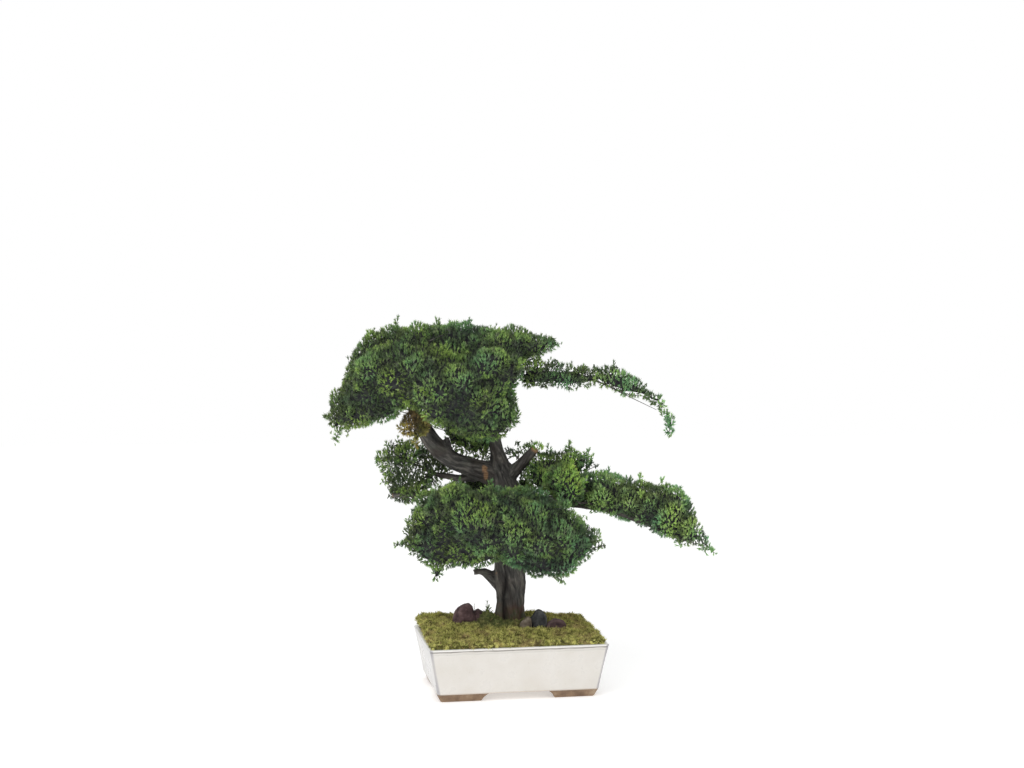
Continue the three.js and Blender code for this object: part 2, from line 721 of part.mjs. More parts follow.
// A plume is a long branch clothed all round, given by the middle of its foliage:
// [across, back, up, reach sideways, reach upwards].
const plumes = {
  right_pad: {
    finish: leafGreen,
    cell: 28,
    around: 10,
    tuft: 21,
    path: [
      [128, -14, 425, 38, 34], [160, -14, 430, 58, 50], [205, -12, 421, 64, 50], [250, -16, 409, 66, 52],
      [300, -34, 397, 66, 62], [338, -56, 387, 60, 66], [366, -78, 360, 46, 54], [391, -94, 341, 33, 36],
      [410, -103, 328, 22, 26], [423, -108, 311, 8, 12],
    ],
  },
  arching_branch: {
    finish: leafGreen,
    cell: 18,
    around: 6,
    tuft: 15,
    path: [
      [22, -8, 665, 26, 26], [48, -14, 674, 34, 38], [80, -22, 675, 35, 41], [115, -28, 674, 34, 40],
      [150, -32, 672, 34, 37], [182, -35, 674, 29, 32], [212, -38, 675, 31, 35], [245, -43, 660, 31, 36],
      [273, -47, 648, 29, 31], [299, -51, 632, 26, 26], [321, -55, 614, 20, 20], [334, -57, 594, 14, 15],
      [340, -58, 573, 9, 11], [343, -58, 553, 4, 6],
    ],
  },
};

// How far a ray from the heart travels before it leaves a bunch, or 0 if it misses it.
function exitDistance(heart, ray, [across, back, up, reach, rise]) {
  const radii = new THREE.Vector3(reach, reach, rise);
  const from = heart.clone().sub(place(across, back, up)).divide(radii);
  const step = ray.clone().divide(radii);
  const slope = from.dot(step);
  const room = slope * slope - step.lengthSq() * (from.lengthSq() - 1);
  return room < 0 ? 0 : Math.max(0, (Math.sqrt(room) - slope) / step.lengthSq());
}

// Each corner's value drawn towards the mean of the corners around it.
function relax(values, triangles, passes) {
  let current = values;
  for (let pass = 0; pass < passes; pass += 1) {
    const sums = current.map(() => 0);
    const counts = current.map(() => 0);
    for (let i = 0; i < triangles.length; i += 1) {
      const next = triangles[i % 3 === 2 ? i - 2 : i + 1];
      sums[triangles[i]] += current[next];
      counts[triangles[i]] += 1;
    }
    current = current.map((value, i) => 0.5 * value + (0.5 * sums[i]) / counts[i]);
  }
  return current;
}

// Draws a face out into one pointed spray. Its tip stays over the face as seen from the root,
// so that no two sprays cross.
function spray(corners, root, length, random) {
  const weights = corners.map(() => 0.25 + random());
  const total = weights.reduce((sum, weight) => sum + weight, 0);
  const foot = new THREE.Vector3();
  corners.forEach((corner, i) => foot.addScaledVector(corner, weights[i] / total));
  const tip = foot.clone().addScaledVector(foot.clone().sub(root).normalize(), length);
  return { tip, faces: corners.map((corner, i) => [corner, corners[(i + 1) % corners.length], tip]) };
}

const longestSpray = 1.25; // as a share of the tuft

// How far a flat-sided room has to be grown to hold the sprays over the middle of its sides.
function roomThickness(tuft, halfAngle) {
  return (longestSpray * tuft) / Math.cos(halfAngle) + 2 * gap;
}

function sprayLength(tuft, outward, random) {
  const underside = outward.z < -0.35 ? 0.7 : 1;
  return tuft * underside * (0.6 + (longestSpray - 0.6) * random());
}

// A pointed solid from one place to another.
function thorn(from, to, radius, sides) {
  const along = to.clone().sub(from);
  const cone = new THREE.ConeGeometry(radius, along.length(), sides, 1);
  const upright = new THREE.Vector3(0, 1, 0);
  cone.applyQuaternion(new THREE.Quaternion().setFromUnitVectors(upright, along.normalize()));
  const middle = from.clone().lerp(to, 0.5);
  return toSolid(cone.translate(middle.x, middle.y, middle.z));
}

// One slim shoot that stands out of a spray.
function shootSolid(tip, root, random, grow) {
  const lean = new THREE.Vector3(random() - 0.5, random() - 0.5, random() - 0.4);
  const towards = tip.clone().sub(root).normalize().addScaledVector(lean, 0.8).normalize();
  const from = tip.clone().addScaledVector(towards, -0.4 * shoot.length);
  const to = from.clone().addScaledVector(towards, shoot.length + 2 * grow);
  return thorn(from, to, shoot.radius + 2 * grow, 3);
}

// Grows the sprays of a body of foliage. Each cell has its corners and its root.
// The room that it takes up is the same body without its sprays, but as thick as the longest of them.
function foliageSolid({ cells, caps, tuft, extras, seed, asRoom }) {
  const random = seeded(seed);
  const margin = asRoom ? 2 * gap : 0;
  const faces = [...caps];
  const additions = extras(margin);
  for (const { corners, outer, root } of cells) {
    const outward = new THREE.Triangle(...corners.slice(0, 3)).getNormal(new THREE.Vector3());
    const { tip, faces: sides } = spray(corners, root, sprayLength(tuft, outward, random), random);
    if (asRoom) for (let i = 2; i < outer.length; i += 1) faces.push([outer[0], outer[i - 1], outer[i]]);
    else faces.push(...sides);
    if (random() < shoot.share) additions.push(shootSolid(tip, root, random, margin));
  }
  const geometry = new THREE.BufferGeometry();
  const positions = faces.flatMap((corners) => corners.flatMap((p) => p.toArray()));
  geometry.setAttribute('position', new THREE.Float32BufferAttribute(positions, 3));
  return fuse([toSolid(geometry), ...additions]);
}

function headSolid({ heart, spread, detail, tuft, bunches, tips }, seed, asRoom) {
  const root = place(...heart);
  const ball = new THREE.IcosahedronGeometry(1, detail);
  ball.deleteAttribute('normal');
  ball.deleteAttribute('uv');
  const merged = mergeVertices(ball, 1e-4);
  const triangles = [...merged.index.array];
  const rays = [];
  for (let i = 0; i < merged.attributes.position.count; i += 1) {
    const unit = new THREE.Vector3().fromBufferAttribute(merged.attributes.position, i);
    rays.push(place(unit.x * spread[0], unit.y * spread[1], unit.z * spread[2]).normalize());
  }
  const reaches = rays.map((ray) => Math.max(...bunches.map((bunch) => exitDistance(root, ray, bunch))));
  const surface = (grow) => relax(reaches, triangles, 1).map((reach, i) => {
    const swell = 1 + 0.12 * noise.noise(6 * rays[i].x + seed, 6 * rays[i].y, 6 * rays[i].z);
    return root.clone().addScaledVector(rays[i], Math.max(tuft, reach * swell - 0.86 * tuft) + grow);
  });
  const [inner, outer] = [surface(0), surface(roomThickness(tuft, 0.65))];
  const cells = [];
  for (let i = 0; i < triangles.length; i += 3) {
    const corner = triangles.slice(i, i + 3);
    cells.push({ corners: corner.map((k) => inner[k]), outer: corner.map((k) => outer[k]), root });
  }
  const extras = (margin) => tips.map(
    ([from, to, radius]) => thorn(place(...from), place(...to), radius + margin, 5),
  );
  return foliageSolid({ cells, caps: [], tuft, extras, seed, asRoom });
}

function plumeSolid({ path, cell, around, tuft }, seed, asRoom) {
  const random = seeded(seed + 50);
  const middle = new THREE.CatmullRomCurve3(path.map(([across, back, up]) => place(across, back, up)));
  const size = new THREE.CatmullRomCurve3(path.map((stop, i) => new THREE.Vector3(stop[3], stop[4], i)));
  const count = Math.round(middle.getLength() / cell);
  const thickness = roomThickness(tuft, 1.5 * Math.PI / around);
  const roots = [];
  const inner = [];
  const outer = [];
  const sizes = (radius, swell) => Math.max(3, (radius - 0.8 * tuft) * swell);
  for (let i = 0; i <= count; i += 1) {
    const along = middle.getUtoTmapping(i / count);
    const tangent = middle.getTangent(along);
    const depth = place(0, 1, 0);
    const sideways = depth.addScaledVector(tangent, -depth.dot(tangent)).normalize();
    const upwards = tangent.clone().cross(sideways).negate();
    const { x: reach, y: rise } = size.getPoint(along);
    const lengthening = { 0: -0.6 * tuft, [count]: 0.6 * tuft }[i] ?? 0;
    inner.push([]);
    outer.push([]);
    for (let side = 0; side < around; side += 1) {
      const angle = ((side + 0.5 * (i % 2)) / around) * 2 * Math.PI;
      const swell = 1 + 0.3 * (random() - 0.5);
      for (const [ring, grow, onwards] of [[inner, 0, 0], [outer, thickness, lengthening]]) {
        const point = middle.getPoint(along).addScaledVector(tangent, onwards);
        point.addScaledVector(sideways, Math.cos(angle) * (sizes(reach, swell) + grow));
        point.addScaledVector(upwards, Math.sin(angle) * (sizes(rise, swell) + grow));
        ring[i].push(point);
      }
    }
    roots.push(middle.getPoint(along));
  }
  const cells = [];
  const cellOf = ([ring, following], side, next) => [
    ring[side], following[side], following[next], ring[next],
  ];
  for (let i = 0; i < count; i += 1) {
    const root = roots[i].clone().lerp(roots[i + 1], 0.5);
    for (let side = 0; side < around; side += 1) {
      const next = (side + 1) % around;
      cells.push({
        corners: cellOf(inner.slice(i, i + 2), side, next),
        outer: cellOf(outer.slice(i, i + 2), side, next),
        root,
      });
    }
  }
  const ends = asRoom ? outer : inner;
  const beyond = (end, before, distance) => {
    const onwards = end.clone().sub(before).normalize();
    return end.clone().addScaledVector(onwards, distance);
  };
  const startTip = beyond(roots[0], roots[1], asRoom ? 1.2 * tuft : 1);
  const endTip = beyond(roots.at(-1), roots.at(-2), asRoom ? thickness + tuft : tuft);
  const caps = [];
  for (let side = 0; side < around; side += 1) {
    const next = (side + 1) % around;
    caps.push([ends[0][side], ends[0][next], startTip], [ends.at(-1)[next], ends.at(-1)[side], endTip]);
  }
  return foliageSolid({ cells, caps, tuft, extras: () => [], seed, asRoom });
}

// Each kind of foliage gives way to those listed before it.
const foliageOrder = [
  'crown_dying', 'right_bright_pad', 'stub_sprigs', 'arching_branch', 'right_pad', 'right_rising_pad',
  'mid_left_pad', 'low_pad', 'back_pad', 'crown',
];

function makeFoliage(woodSpace) {
  const taken = [woodSpace];
  return foliageOrder.map((name, index) => {
    const seed = 100 + index;
    const shape = (asRoom) => (
      name in heads ? headSolid(heads[name], seed, asRoom) : plumeSolid(plumes[name], seed, asRoom)
    );
    const solid = shape(false).subtract(fuse(taken)).simplify(gap);
    taken.push(shape(true));
    return toMesh(name, solid, (heads[name] ?? plumes[name]).finish);
  });
}

// Assembly

function makeBonsai() {
  const woodSpace = makeWoodSolid(2 * gap);
  const planted = fuse([
    limbSolid(limbs.trunk, 2 * gap),
    limbSolid(limbs.buttress, 2 * gap),
    ...roots.map((root) => rootSolid(root, 2 * gap)),
  ]);
  const laidIn = fuse([...stones.map(stoneHole), ...weeds.map(weedHole)]);

  const bonsai = new THREE.Group();
  bonsai.add(
    makePot(),
    makeScreen(-1),
    makeScreen(1),
    toMesh('soil', makeSoilSolid().subtract(planted).simplify(gap), darkSoil),
    toMesh('moss', makeMossSolid().subtract(planted).subtract(laidIn).simplify(gap), mossGreen),
    ...makeStones(woodSpace),
    ...weeds.map(makeWeed),
    toMesh('wood', makeWoodSolid(0).simplify(gap), bark),
    ...makeFoliage(woodSpace),
  );
  return bonsai;
}

export default makeBonsai();
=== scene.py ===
import json
import math
import random
from contextlib import contextmanager

import bmesh
import bpy
import numpy as np
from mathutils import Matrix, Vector, noise
from mathutils.bvhtree import BVHTree

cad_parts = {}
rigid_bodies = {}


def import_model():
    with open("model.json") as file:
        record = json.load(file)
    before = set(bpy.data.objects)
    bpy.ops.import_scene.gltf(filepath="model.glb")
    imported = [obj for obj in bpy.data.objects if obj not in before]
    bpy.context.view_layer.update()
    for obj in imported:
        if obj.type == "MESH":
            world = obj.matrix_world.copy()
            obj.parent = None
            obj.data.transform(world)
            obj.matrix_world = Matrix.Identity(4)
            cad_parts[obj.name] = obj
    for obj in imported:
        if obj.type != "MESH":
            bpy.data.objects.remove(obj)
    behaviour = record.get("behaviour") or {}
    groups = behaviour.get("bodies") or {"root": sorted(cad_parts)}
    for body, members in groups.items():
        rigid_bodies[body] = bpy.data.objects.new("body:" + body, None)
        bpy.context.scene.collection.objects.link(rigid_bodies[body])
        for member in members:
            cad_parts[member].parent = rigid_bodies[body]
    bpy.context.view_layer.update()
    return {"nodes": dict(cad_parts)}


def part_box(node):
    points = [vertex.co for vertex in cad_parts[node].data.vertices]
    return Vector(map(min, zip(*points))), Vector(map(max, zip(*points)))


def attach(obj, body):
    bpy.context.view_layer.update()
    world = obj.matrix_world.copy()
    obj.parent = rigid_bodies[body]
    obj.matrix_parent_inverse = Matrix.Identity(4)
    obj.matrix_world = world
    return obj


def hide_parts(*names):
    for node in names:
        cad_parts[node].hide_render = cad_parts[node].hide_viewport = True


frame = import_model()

scene = bpy.context.scene
mm = 0.001
fullTurn = 6.283

# camera, level with the crown and a little left of the pot's front
view = {"sensor": 36, "lens": 52.73, "at": (-0.571, -3.185, 0.747), "tilt": 88.4, "turn": -10.3}
camera = bpy.data.objects.new("camera", bpy.data.cameras.new("camera"))
scene.collection.objects.link(camera)
camera.data.sensor_width = view["sensor"]
camera.data.lens = view["lens"]
camera.location = view["at"]
camera.rotation_euler = (math.radians(view["tilt"]), 0, math.radians(view["turn"]))
scene.camera = camera
scene.view_settings.view_transform = "Standard"

bestSide = -math.radians(view["turn"])  # the tree's best side faces the camera, turned from the pot's front
bestSin, bestCos = math.sin(bestSide), math.cos(bestSide)


# a place seen from the tree's best side, in millimetres, as a place in the frame
def place(across, back, up):
    return Vector((
        (across * bestCos + back * bestSin) * mm,
        (-across * bestSin + back * bestCos) * mm,
        up * mm,
    ))


# a colour as the eye sees it, 0 to 255, as shader values
def paint(red, green, blue):
    def linear(value):
        value /= 255
        return value / 12.92 if value <= 0.04045 else ((value + 0.055) / 1.055) ** 2.4
    return (linear(red), linear(green), linear(blue), 1)


# meshes

def addMesh(name, points, faces):
    mesh = bpy.data.meshes.new(name)
    mesh.from_pydata([tuple(p) for p in points], [], faces)
    mesh.validate()
    obj = bpy.data.objects.new(name, mesh)
    scene.collection.objects.link(obj)
    return obj


def linkedCopy(obj, name):
    copy = bpy.data.objects.new(name, obj.data.copy())
    scene.collection.objects.link(copy)
    return copy


def drop(obj):
    mesh = obj.data
    bpy.data.objects.remove(obj)
    if mesh and mesh.users == 0:
        bpy.data.meshes.remove(mesh)


# a mesh opened for an edit of its points and faces, and written back after it
@contextmanager
def editing(mesh):
    work = bmesh.new()
    work.from_mesh(mesh)
    yield work
    work.to_mesh(mesh)
    work.free()


def applied(obj):
    graph = bpy.context.evaluated_depsgraph_get()
    mesh = bpy.data.meshes.new_from_object(
        obj.evaluated_get(graph), preserve_all_data_layers=True, depsgraph=graph)
    old = obj.data
    obj.modifiers.clear()
    obj.data = mesh
    bpy.data.meshes.remove(old)
    mesh.name = obj.name
    return obj


# a copy of a node's solid, with its loose triangles merged
def solidCopy(node, name):
    obj = linkedCopy(frame["nodes"][node], name)
    obj.data.materials.clear()
    with editing(obj.data) as work:
        bmesh.ops.remove_doubles(work, verts=work.verts, dist=1e-5)
    return obj


def melted(obj, voxel, passes):
    remesh = obj.modifiers.new("remesh", "REMESH")
    remesh.mode = "VOXEL"
    remesh.voxel_size = voxel
    relax = obj.modifiers.new("relax", "SMOOTH")
    relax.factor = 0.5
    relax.iterations = passes
    return applied(obj)


def smoothed(mesh):
    mesh.polygons.foreach_set("use_smooth", [True] * len(mesh.polygons))


def readVectors(items, field):
    values = np.empty(3 * len(items), np.float32)
    items.foreach_get(field, values)
    return values.reshape(-1, 3).astype(float)


def getPoints(mesh):
    return readVectors(mesh.vertices, "co")


def getNormals(mesh):
    return readVectors(mesh.vertex_normals, "vector")


def getFaces(mesh):
    return [tuple(face.vertices) for face in mesh.polygons]


def setPoints(mesh, points):
    mesh.vertices.foreach_set("co", np.asarray(points, np.float32).ravel())
    mesh.update()


def setValues(mesh, name, values):
    kind, field = ("FLOAT_VECTOR", "vector") if np.ndim(values) == 2 else ("FLOAT", "value")
    attribute = mesh.attributes.new(name, kind, "POINT")
    attribute.data.foreach_set(field, np.asarray(values, np.float32).ravel())


def smoothstep(low, high, values):
    share = np.clip((values - low) / (high - low), 0, 1)
    return share * share * (3 - 2 * share)


# smooth noise, about -1 to 1, with features of a size, at many points
def noiseAt(points, size, seed):
    shift = Vector((13.7 * seed, -7.1 * seed, 3.3 * seed))
    return np.array([noise.noise(Vector(p) / size + shift) for p in points])


# 0 in the creases between rounded cells of a size, and 1 over most of each cell
def cellsAt(points, size, seed):
    shift = Vector((5.3 * seed, 9.1 * seed, -2.7 * seed))
    gaps = []
    for p in points:
        distances, _ = noise.voronoi(Vector(p) / size + shift)
        gaps.append(distances[1] - distances[0])
    return smoothstep(0.0, 0.42, np.array(gaps))


counts = {}  # each piece's triangles


def finish(obj, material, node=None):
    obj.data.materials.clear()
    obj.data.materials.append(material)
    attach(obj, "root")
    if node:
        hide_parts(node)
    obj.data.calc_loop_triangles()
    counts[obj.name] = len(obj.data.loop_triangles)


# node trees

def feed(tree, socket, value):
    if isinstance(value, bpy.types.NodeSocket):
        tree.links.new(value, socket)
    else:
        socket.default_value = value


# a node whose inputs are values or other nodes' outputs
def addNode(tree, kind, values=None, **settings):
    made = tree.nodes.new(kind)
    for key, value in settings.items():
        setattr(made, key, value)
    for key, value in (values or {}).items():
        feed(tree, made.inputs[key], value)
    return made


# a procedural material that is built up from its sockets
class Shade:
    def __init__(self, name):
        self.material = bpy.data.materials.new(name)
        self.material.use_nodes = True
        self.tree = self.material.node_tree
        self.shader = self.tree.nodes["Principled BSDF"]
        self.coords = self.tree.nodes.new("ShaderNodeTexCoord").outputs["Object"]

    def node(self, kind, values=None, **settings):
        return addNode(self.tree, kind, values, **settings)

    def attribute(self, name, output="Fac"):
        return self.node("ShaderNodeAttribute", attribute_name=name).outputs[output]

    def noise(self, scale, detail=3, roughness=0.55, where=None, distortion=0):
        values = {"Vector": where or self.coords, "Scale": scale, "Detail": detail,
                  "Roughness": roughness, "Distortion": distortion}
        return self.node("ShaderNodeTexNoise", values).outputs["Fac"]

    def stretch(self, where, scale):
        return self.node("ShaderNodeMapping", {"Vector": where, "Scale": scale}).outputs["Vector"]

    def part(self, axis):
        return self.node("ShaderNodeSeparateXYZ", {"Vector": self.coords}).outputs[axis]

    def sum(self, operation, first, second=0.0, third=0.0):
        values = {0: first, 1: second, 2: third}
        return self.node("ShaderNodeMath", values, operation=operation).outputs[0]

    def between(self, value, low, high, start=0.0, end=1.0):
        values = {"Value": value, "From Min": low, "From Max": high, "To Min": start, "To Max": end}
        return self.node("ShaderNodeMapRange", values).outputs["Result"]

    def ramp(self, value, stops):
        made = self.node("ShaderNodeValToRGB", {"Fac": value})
        elements = made.color_ramp.elements
        while len(elements) < len(stops):
            elements.new(0.5)
        for element, (position, colour) in zip(elements, stops):
            element.position = position
            element.color = colour
        return made.outputs["Color"]

    def mix(self, share, first, second):
        return self.node("ShaderNodeMix", {0: share, 6: first, 7: second}, data_type="RGBA").outputs[2]

    # a second colour laid over a first where a value is high
    def over(self, colour, second, value, low, high, start=0.0, end=1.0):
        return self.mix(self.between(value, low, high, start, end), colour, second)

    def bump(self, height, distance, strength):
        values = {"Height": height, "Distance": distance, "Strength": strength}
        feed(self.tree, self.shader.inputs["Normal"], self.node("ShaderNodeBump", values).outputs["Normal"])

    def done(self, colour, roughness, specular):
        feed(self.tree, self.shader.inputs["Base Color"], colour)
        feed(self.tree, self.shader.inputs["Roughness"], roughness)
        self.shader.inputs["Specular IOR Level"].default_value = specular
        return self.material


leafLook = {
    "patches": 15, "grain": 460, "dullPatches": 64,  # features a metre
    "tip": 0.4, "sprig": 0.14, "fleck": 0.46,  # what makes up how bright a shoot is
    "sunnySide": (0.08, 0.26, 0.26),  # from and to along X, and how much brighter
    "coolSide": (-0.36, 0.12, -0.2, 0.12),  # from and to along X, and how much cooler
    "coolLow": (0.27, 0.42, 0.2),  # from and to along Z, and how much cooler below
    # the colour of the painted shade in the hollows between lumps
    "hollow": (44, 42, 52),
}
leafColours = {
    "juniper_leaf": {"deep": (70, 88, 54), "middle": (142, 174, 82), "light": (216, 242, 132),
                     "cool": (102, 147, 102), "dull": (130, 118, 116)},
    "bright_leaf": {"deep": (88, 114, 46), "middle": (160, 196, 78), "light": (224, 244, 120),
                    "cool": (122, 168, 96), "dull": (136, 128, 88)},
    "dying_leaf": {"deep": (112, 94, 46), "middle": (180, 150, 76), "light": (228, 204, 120),
                   "cool": (130, 142, 74), "dull": (134, 104, 80)},
}


# foliage colour: wide patches of two greens, mottled shoot by shoot, with painted shade in the hollows
def leafMaterial(name):
    shade = Shade(name)
    deep, middle, light, cool, dull = (paint(*colour) for colour in leafColours[name].values())
    coolDeep, coolLight = (tuple(share * c for c in cool[:3]) + (1,) for share in (0.5, 2.0))
    value = shade.sum("MULTIPLY", shade.attribute("along"), leafLook["tip"])
    value = shade.sum("MULTIPLY_ADD", shade.attribute("tint"), leafLook["sprig"], value)
    fleck = shade.between(shade.noise(leafLook["grain"], 1), 0.3, 0.7)
    value = shade.sum("MULTIPLY_ADD", fleck, leafLook["fleck"], value)
    low, high, most = leafLook["sunnySide"]
    value = shade.sum("ADD", value, shade.between(shade.part("X"), low, high, 0, most))
    warm = shade.ramp(value, [(0.1, deep), (0.5, middle), (0.92, light)])
    cold = shade.ramp(value, [(0.1, coolDeep), (0.5, cool), (0.92, coolLight)])
    patch = shade.between(shade.noise(leafLook["patches"], 3, 0.6), 0.36, 0.64)
    right = shade.between(shade.part("X"), *leafLook["coolSide"])
    under = shade.between(shade.part("Z"), *leafLook["coolLow"], 0)
    coolness = shade.sum("ADD", shade.sum("ADD", shade.sum("MULTIPLY", patch, 0.85), right), under)
    colour = shade.over(warm, cold, coolness, 0, 1)
    colour = shade.over(colour, dull, shade.noise(leafLook["dullPatches"], 2), 0.54, 0.68, 0, 0.5)
    # painted shade in the hollows between lumps
    colour = shade.over(colour, paint(*leafLook["hollow"]), shade.attribute("hollow"), 0.3, 0.95, 0, 0.7)
    return shade.done(colour, 0.5, 0.35)


leaf, brightLeaf, dyingLeaf = (leafMaterial(name) for name in leafColours)


# the pads' dark inside: a painted shade colour that shows through the gaps between sprigs
def coreMaterial():
    shade = Shade("inner_foliage")
    colour = shade.ramp(shade.noise(120, 4), [(0.35, paint(42, 40, 48)), (0.7, paint(72, 78, 68))])
    return shade.done(colour, 0.9, 0.1)


innerLeaf = coreMaterial()


# foliage: each sprig is a brush of slim pointed shoots

sprig = {"shoots": 8, "length": 9.5 * mm, "width": 2.4 * mm, "tilt": (0.1, 0.85)}
innerSprig = {"shoots": 7, "length": 11 * mm, "width": 3.6 * mm, "tilt": (0.4, 1.2)}


def basisFor(direction):
    direction = direction.normalized()
    side = direction.cross(Vector((0.31, 0.62, 0.72))).normalized()
    return direction, side, direction.cross(side)


# a direction that leans from upright by a tilt, towards a turn
def leaning(turn, tilt):
    return Vector((math.sin(tilt) * math.cos(turn), math.sin(tilt) * math.sin(turn), math.cos(tilt)))


# points, faces and how far along its sprig each point is
class Growth:
    def __init__(self):
        self.points, self.faces, self.along = [], [], []
        self.level = 1.0  # how bright the next shoot's tip is

    def spike(self, foot, direction, length, width):
        direction, side, other = basisFor(direction)
        first = len(self.points)
        for turn in (0, 2.094, 4.189):  # thirds of a turn
            self.points.append(foot + (side * math.cos(turn) + other * math.sin(turn)) * width / 2)
        self.points.append(foot + direction * length)
        self.along += [0, 0, 0, self.level]
        a, b, c, tip = range(first, first + 4)
        self.faces += [(a, b, tip), (b, c, tip), (c, a, tip), (c, b, a)]


# a group of small shapes that are only scattered, and kept out of the scene itself
def shapeGroup(name, count, make):
    group = bpy.data.collections.new(name)
    for i in range(count):
        growth = make(i)
        obj = addMesh(f"{name}_{i}", growth.points, growth.faces)
        setValues(obj.data, "along", growth.along)
        scene.collection.objects.unlink(obj)
        group.objects.link(obj)
    return group


def growSprig(size, seed):
    draw = random.Random(seed)
    growth = Growth()
    growth.spike(Vector((0, 0, -3 * mm)), Vector((0, 0, 1)), 1.25 * size["length"], size["width"])
    for i in range(size["shoots"] - 1):
        turn = fullTurn * i / (size["shoots"] - 1) + draw.uniform(-0.5, 0.5)
        towards = leaning(turn, draw.uniform(*size["tilt"]))
        growth.level = draw.uniform(0.1, 1.4)
        growth.spike(-1 * mm * towards, towards, size["length"] * draw.uniform(0.75, 1.1), size["width"])
    return growth


sprigs = shapeGroup("sprigs", 6, lambda i: growSprig(sprig, 40 + i))
innerSprigs = shapeGroup("inner_sprigs", 3, lambda i: growSprig(innerSprig, 50 + i))


# copies a collection's shapes over a surface, turned out from it
def scatterTree():
    tree = bpy.data.node_groups.new("scatter", "GeometryNodeTree")
    sockets = [
        ("Surface", "Geometry"), ("Shapes", "Collection"), ("Spacing", "Float"), ("Density", "Float"),
        ("Lift", "Float"), ("Unrest", "Float"), ("Smallest", "Float"), ("Largest", "Float"),
        ("Seed", "Int"), ("Finish", "Material"),
    ]
    for label, kind in sockets:
        tree.interface.new_socket(name=label, in_out="INPUT", socket_type="NodeSocket" + kind)
    tree.interface.new_socket(name="Surface", in_out="OUTPUT", socket_type="NodeSocketGeometry")

    def add(kind, values=None, output=0, **settings):
        return addNode(tree, kind, values, **settings).outputs[output]

    def randomBetween(low, high, seed):
        return add("FunctionNodeRandomValue", {2: low, 3: high, "Seed": seed}, 1, data_type="FLOAT")

    given = addNode(tree, "NodeGroupInput").outputs
    cover = add("GeometryNodeInputNamedAttribute", {"Name": "cover"}, "Attribute", data_type="FLOAT")
    spread = addNode(tree, "GeometryNodeDistributePointsOnFaces", {
        "Mesh": given["Surface"], "Distance Min": given["Spacing"], "Density Max": given["Density"],
        "Density Factor": cover, "Seed": given["Seed"],
    }, distribute_method="POISSON").outputs
    upwards = add("ShaderNodeSeparateXYZ", {0: spread["Normal"]}, "Z")
    lit = add("ShaderNodeMath", {0: upwards, 1: 0.7}, operation="ADD", use_clamp=True)
    raised = add("ShaderNodeMath", {0: lit, 1: given["Lift"]}, operation="MULTIPLY")
    lift = add("ShaderNodeCombineXYZ", {"Z": raised})
    outward = add("ShaderNodeVectorMath", {0: spread["Normal"], 1: lift}, operation="ADD")
    wild = add("FunctionNodeRandomValue", {0: (-1, -1, -1), 1: (1, 1, 1), "Seed": given["Seed"]},
               data_type="FLOAT_VECTOR")
    strayed = add("ShaderNodeVectorMath", {0: wild, "Scale": given["Unrest"]}, operation="SCALE")
    towards = add("ShaderNodeVectorMath", {0: outward, 1: strayed}, operation="ADD")
    aligned = add("FunctionNodeAlignRotationToVector", {"Vector": towards}, axis="Z")
    spin = add("ShaderNodeCombineXYZ", {"Z": randomBetween(0.0, fullTurn, 3)})
    spun = add("FunctionNodeEulerToRotation", {0: spin})
    turned = add("FunctionNodeRotateRotation", {"Rotation": aligned, "Rotate By": spun},
                 rotation_space="LOCAL")
    shapes = add("GeometryNodeCollectionInfo", {
        "Collection": given["Shapes"], "Separate Children": True, "Reset Children": True})
    placed = add("GeometryNodeInstanceOnPoints", {
        "Points": spread["Points"], "Instance": shapes, "Pick Instance": True,
        "Rotation": turned, "Scale": randomBetween(given["Smallest"], given["Largest"], 5),
    })
    tint = {"Geometry": placed, "Name": "tint", "Value": randomBetween(0.0, 1.0, 8)}
    stored = add("GeometryNodeStoreNamedAttribute", tint, data_type="FLOAT", domain="INSTANCE")
    real = add("GeometryNodeRealizeInstances", {"Geometry": stored})
    dressed = add("GeometryNodeSetMaterial", {"Geometry": real, "Material": given["Finish"]})
    addNode(tree, "NodeGroupOutput", {0: dressed})
    return tree


scatter = scatterTree()
scatterSockets = {s.name: s.identifier for s in scatter.interface.items_tree if s.in_out == "INPUT"}


# a new piece: shapes over a helper surface, as one plain mesh
def scattered(surface, name, values):
    obj = linkedCopy(surface, name)
    modifier = obj.modifiers.new("scatter", "NODES")
    modifier.node_group = scatter
    for label, value in values.items():
        modifier[scatterSockets[label]] = value
    return applied(obj)


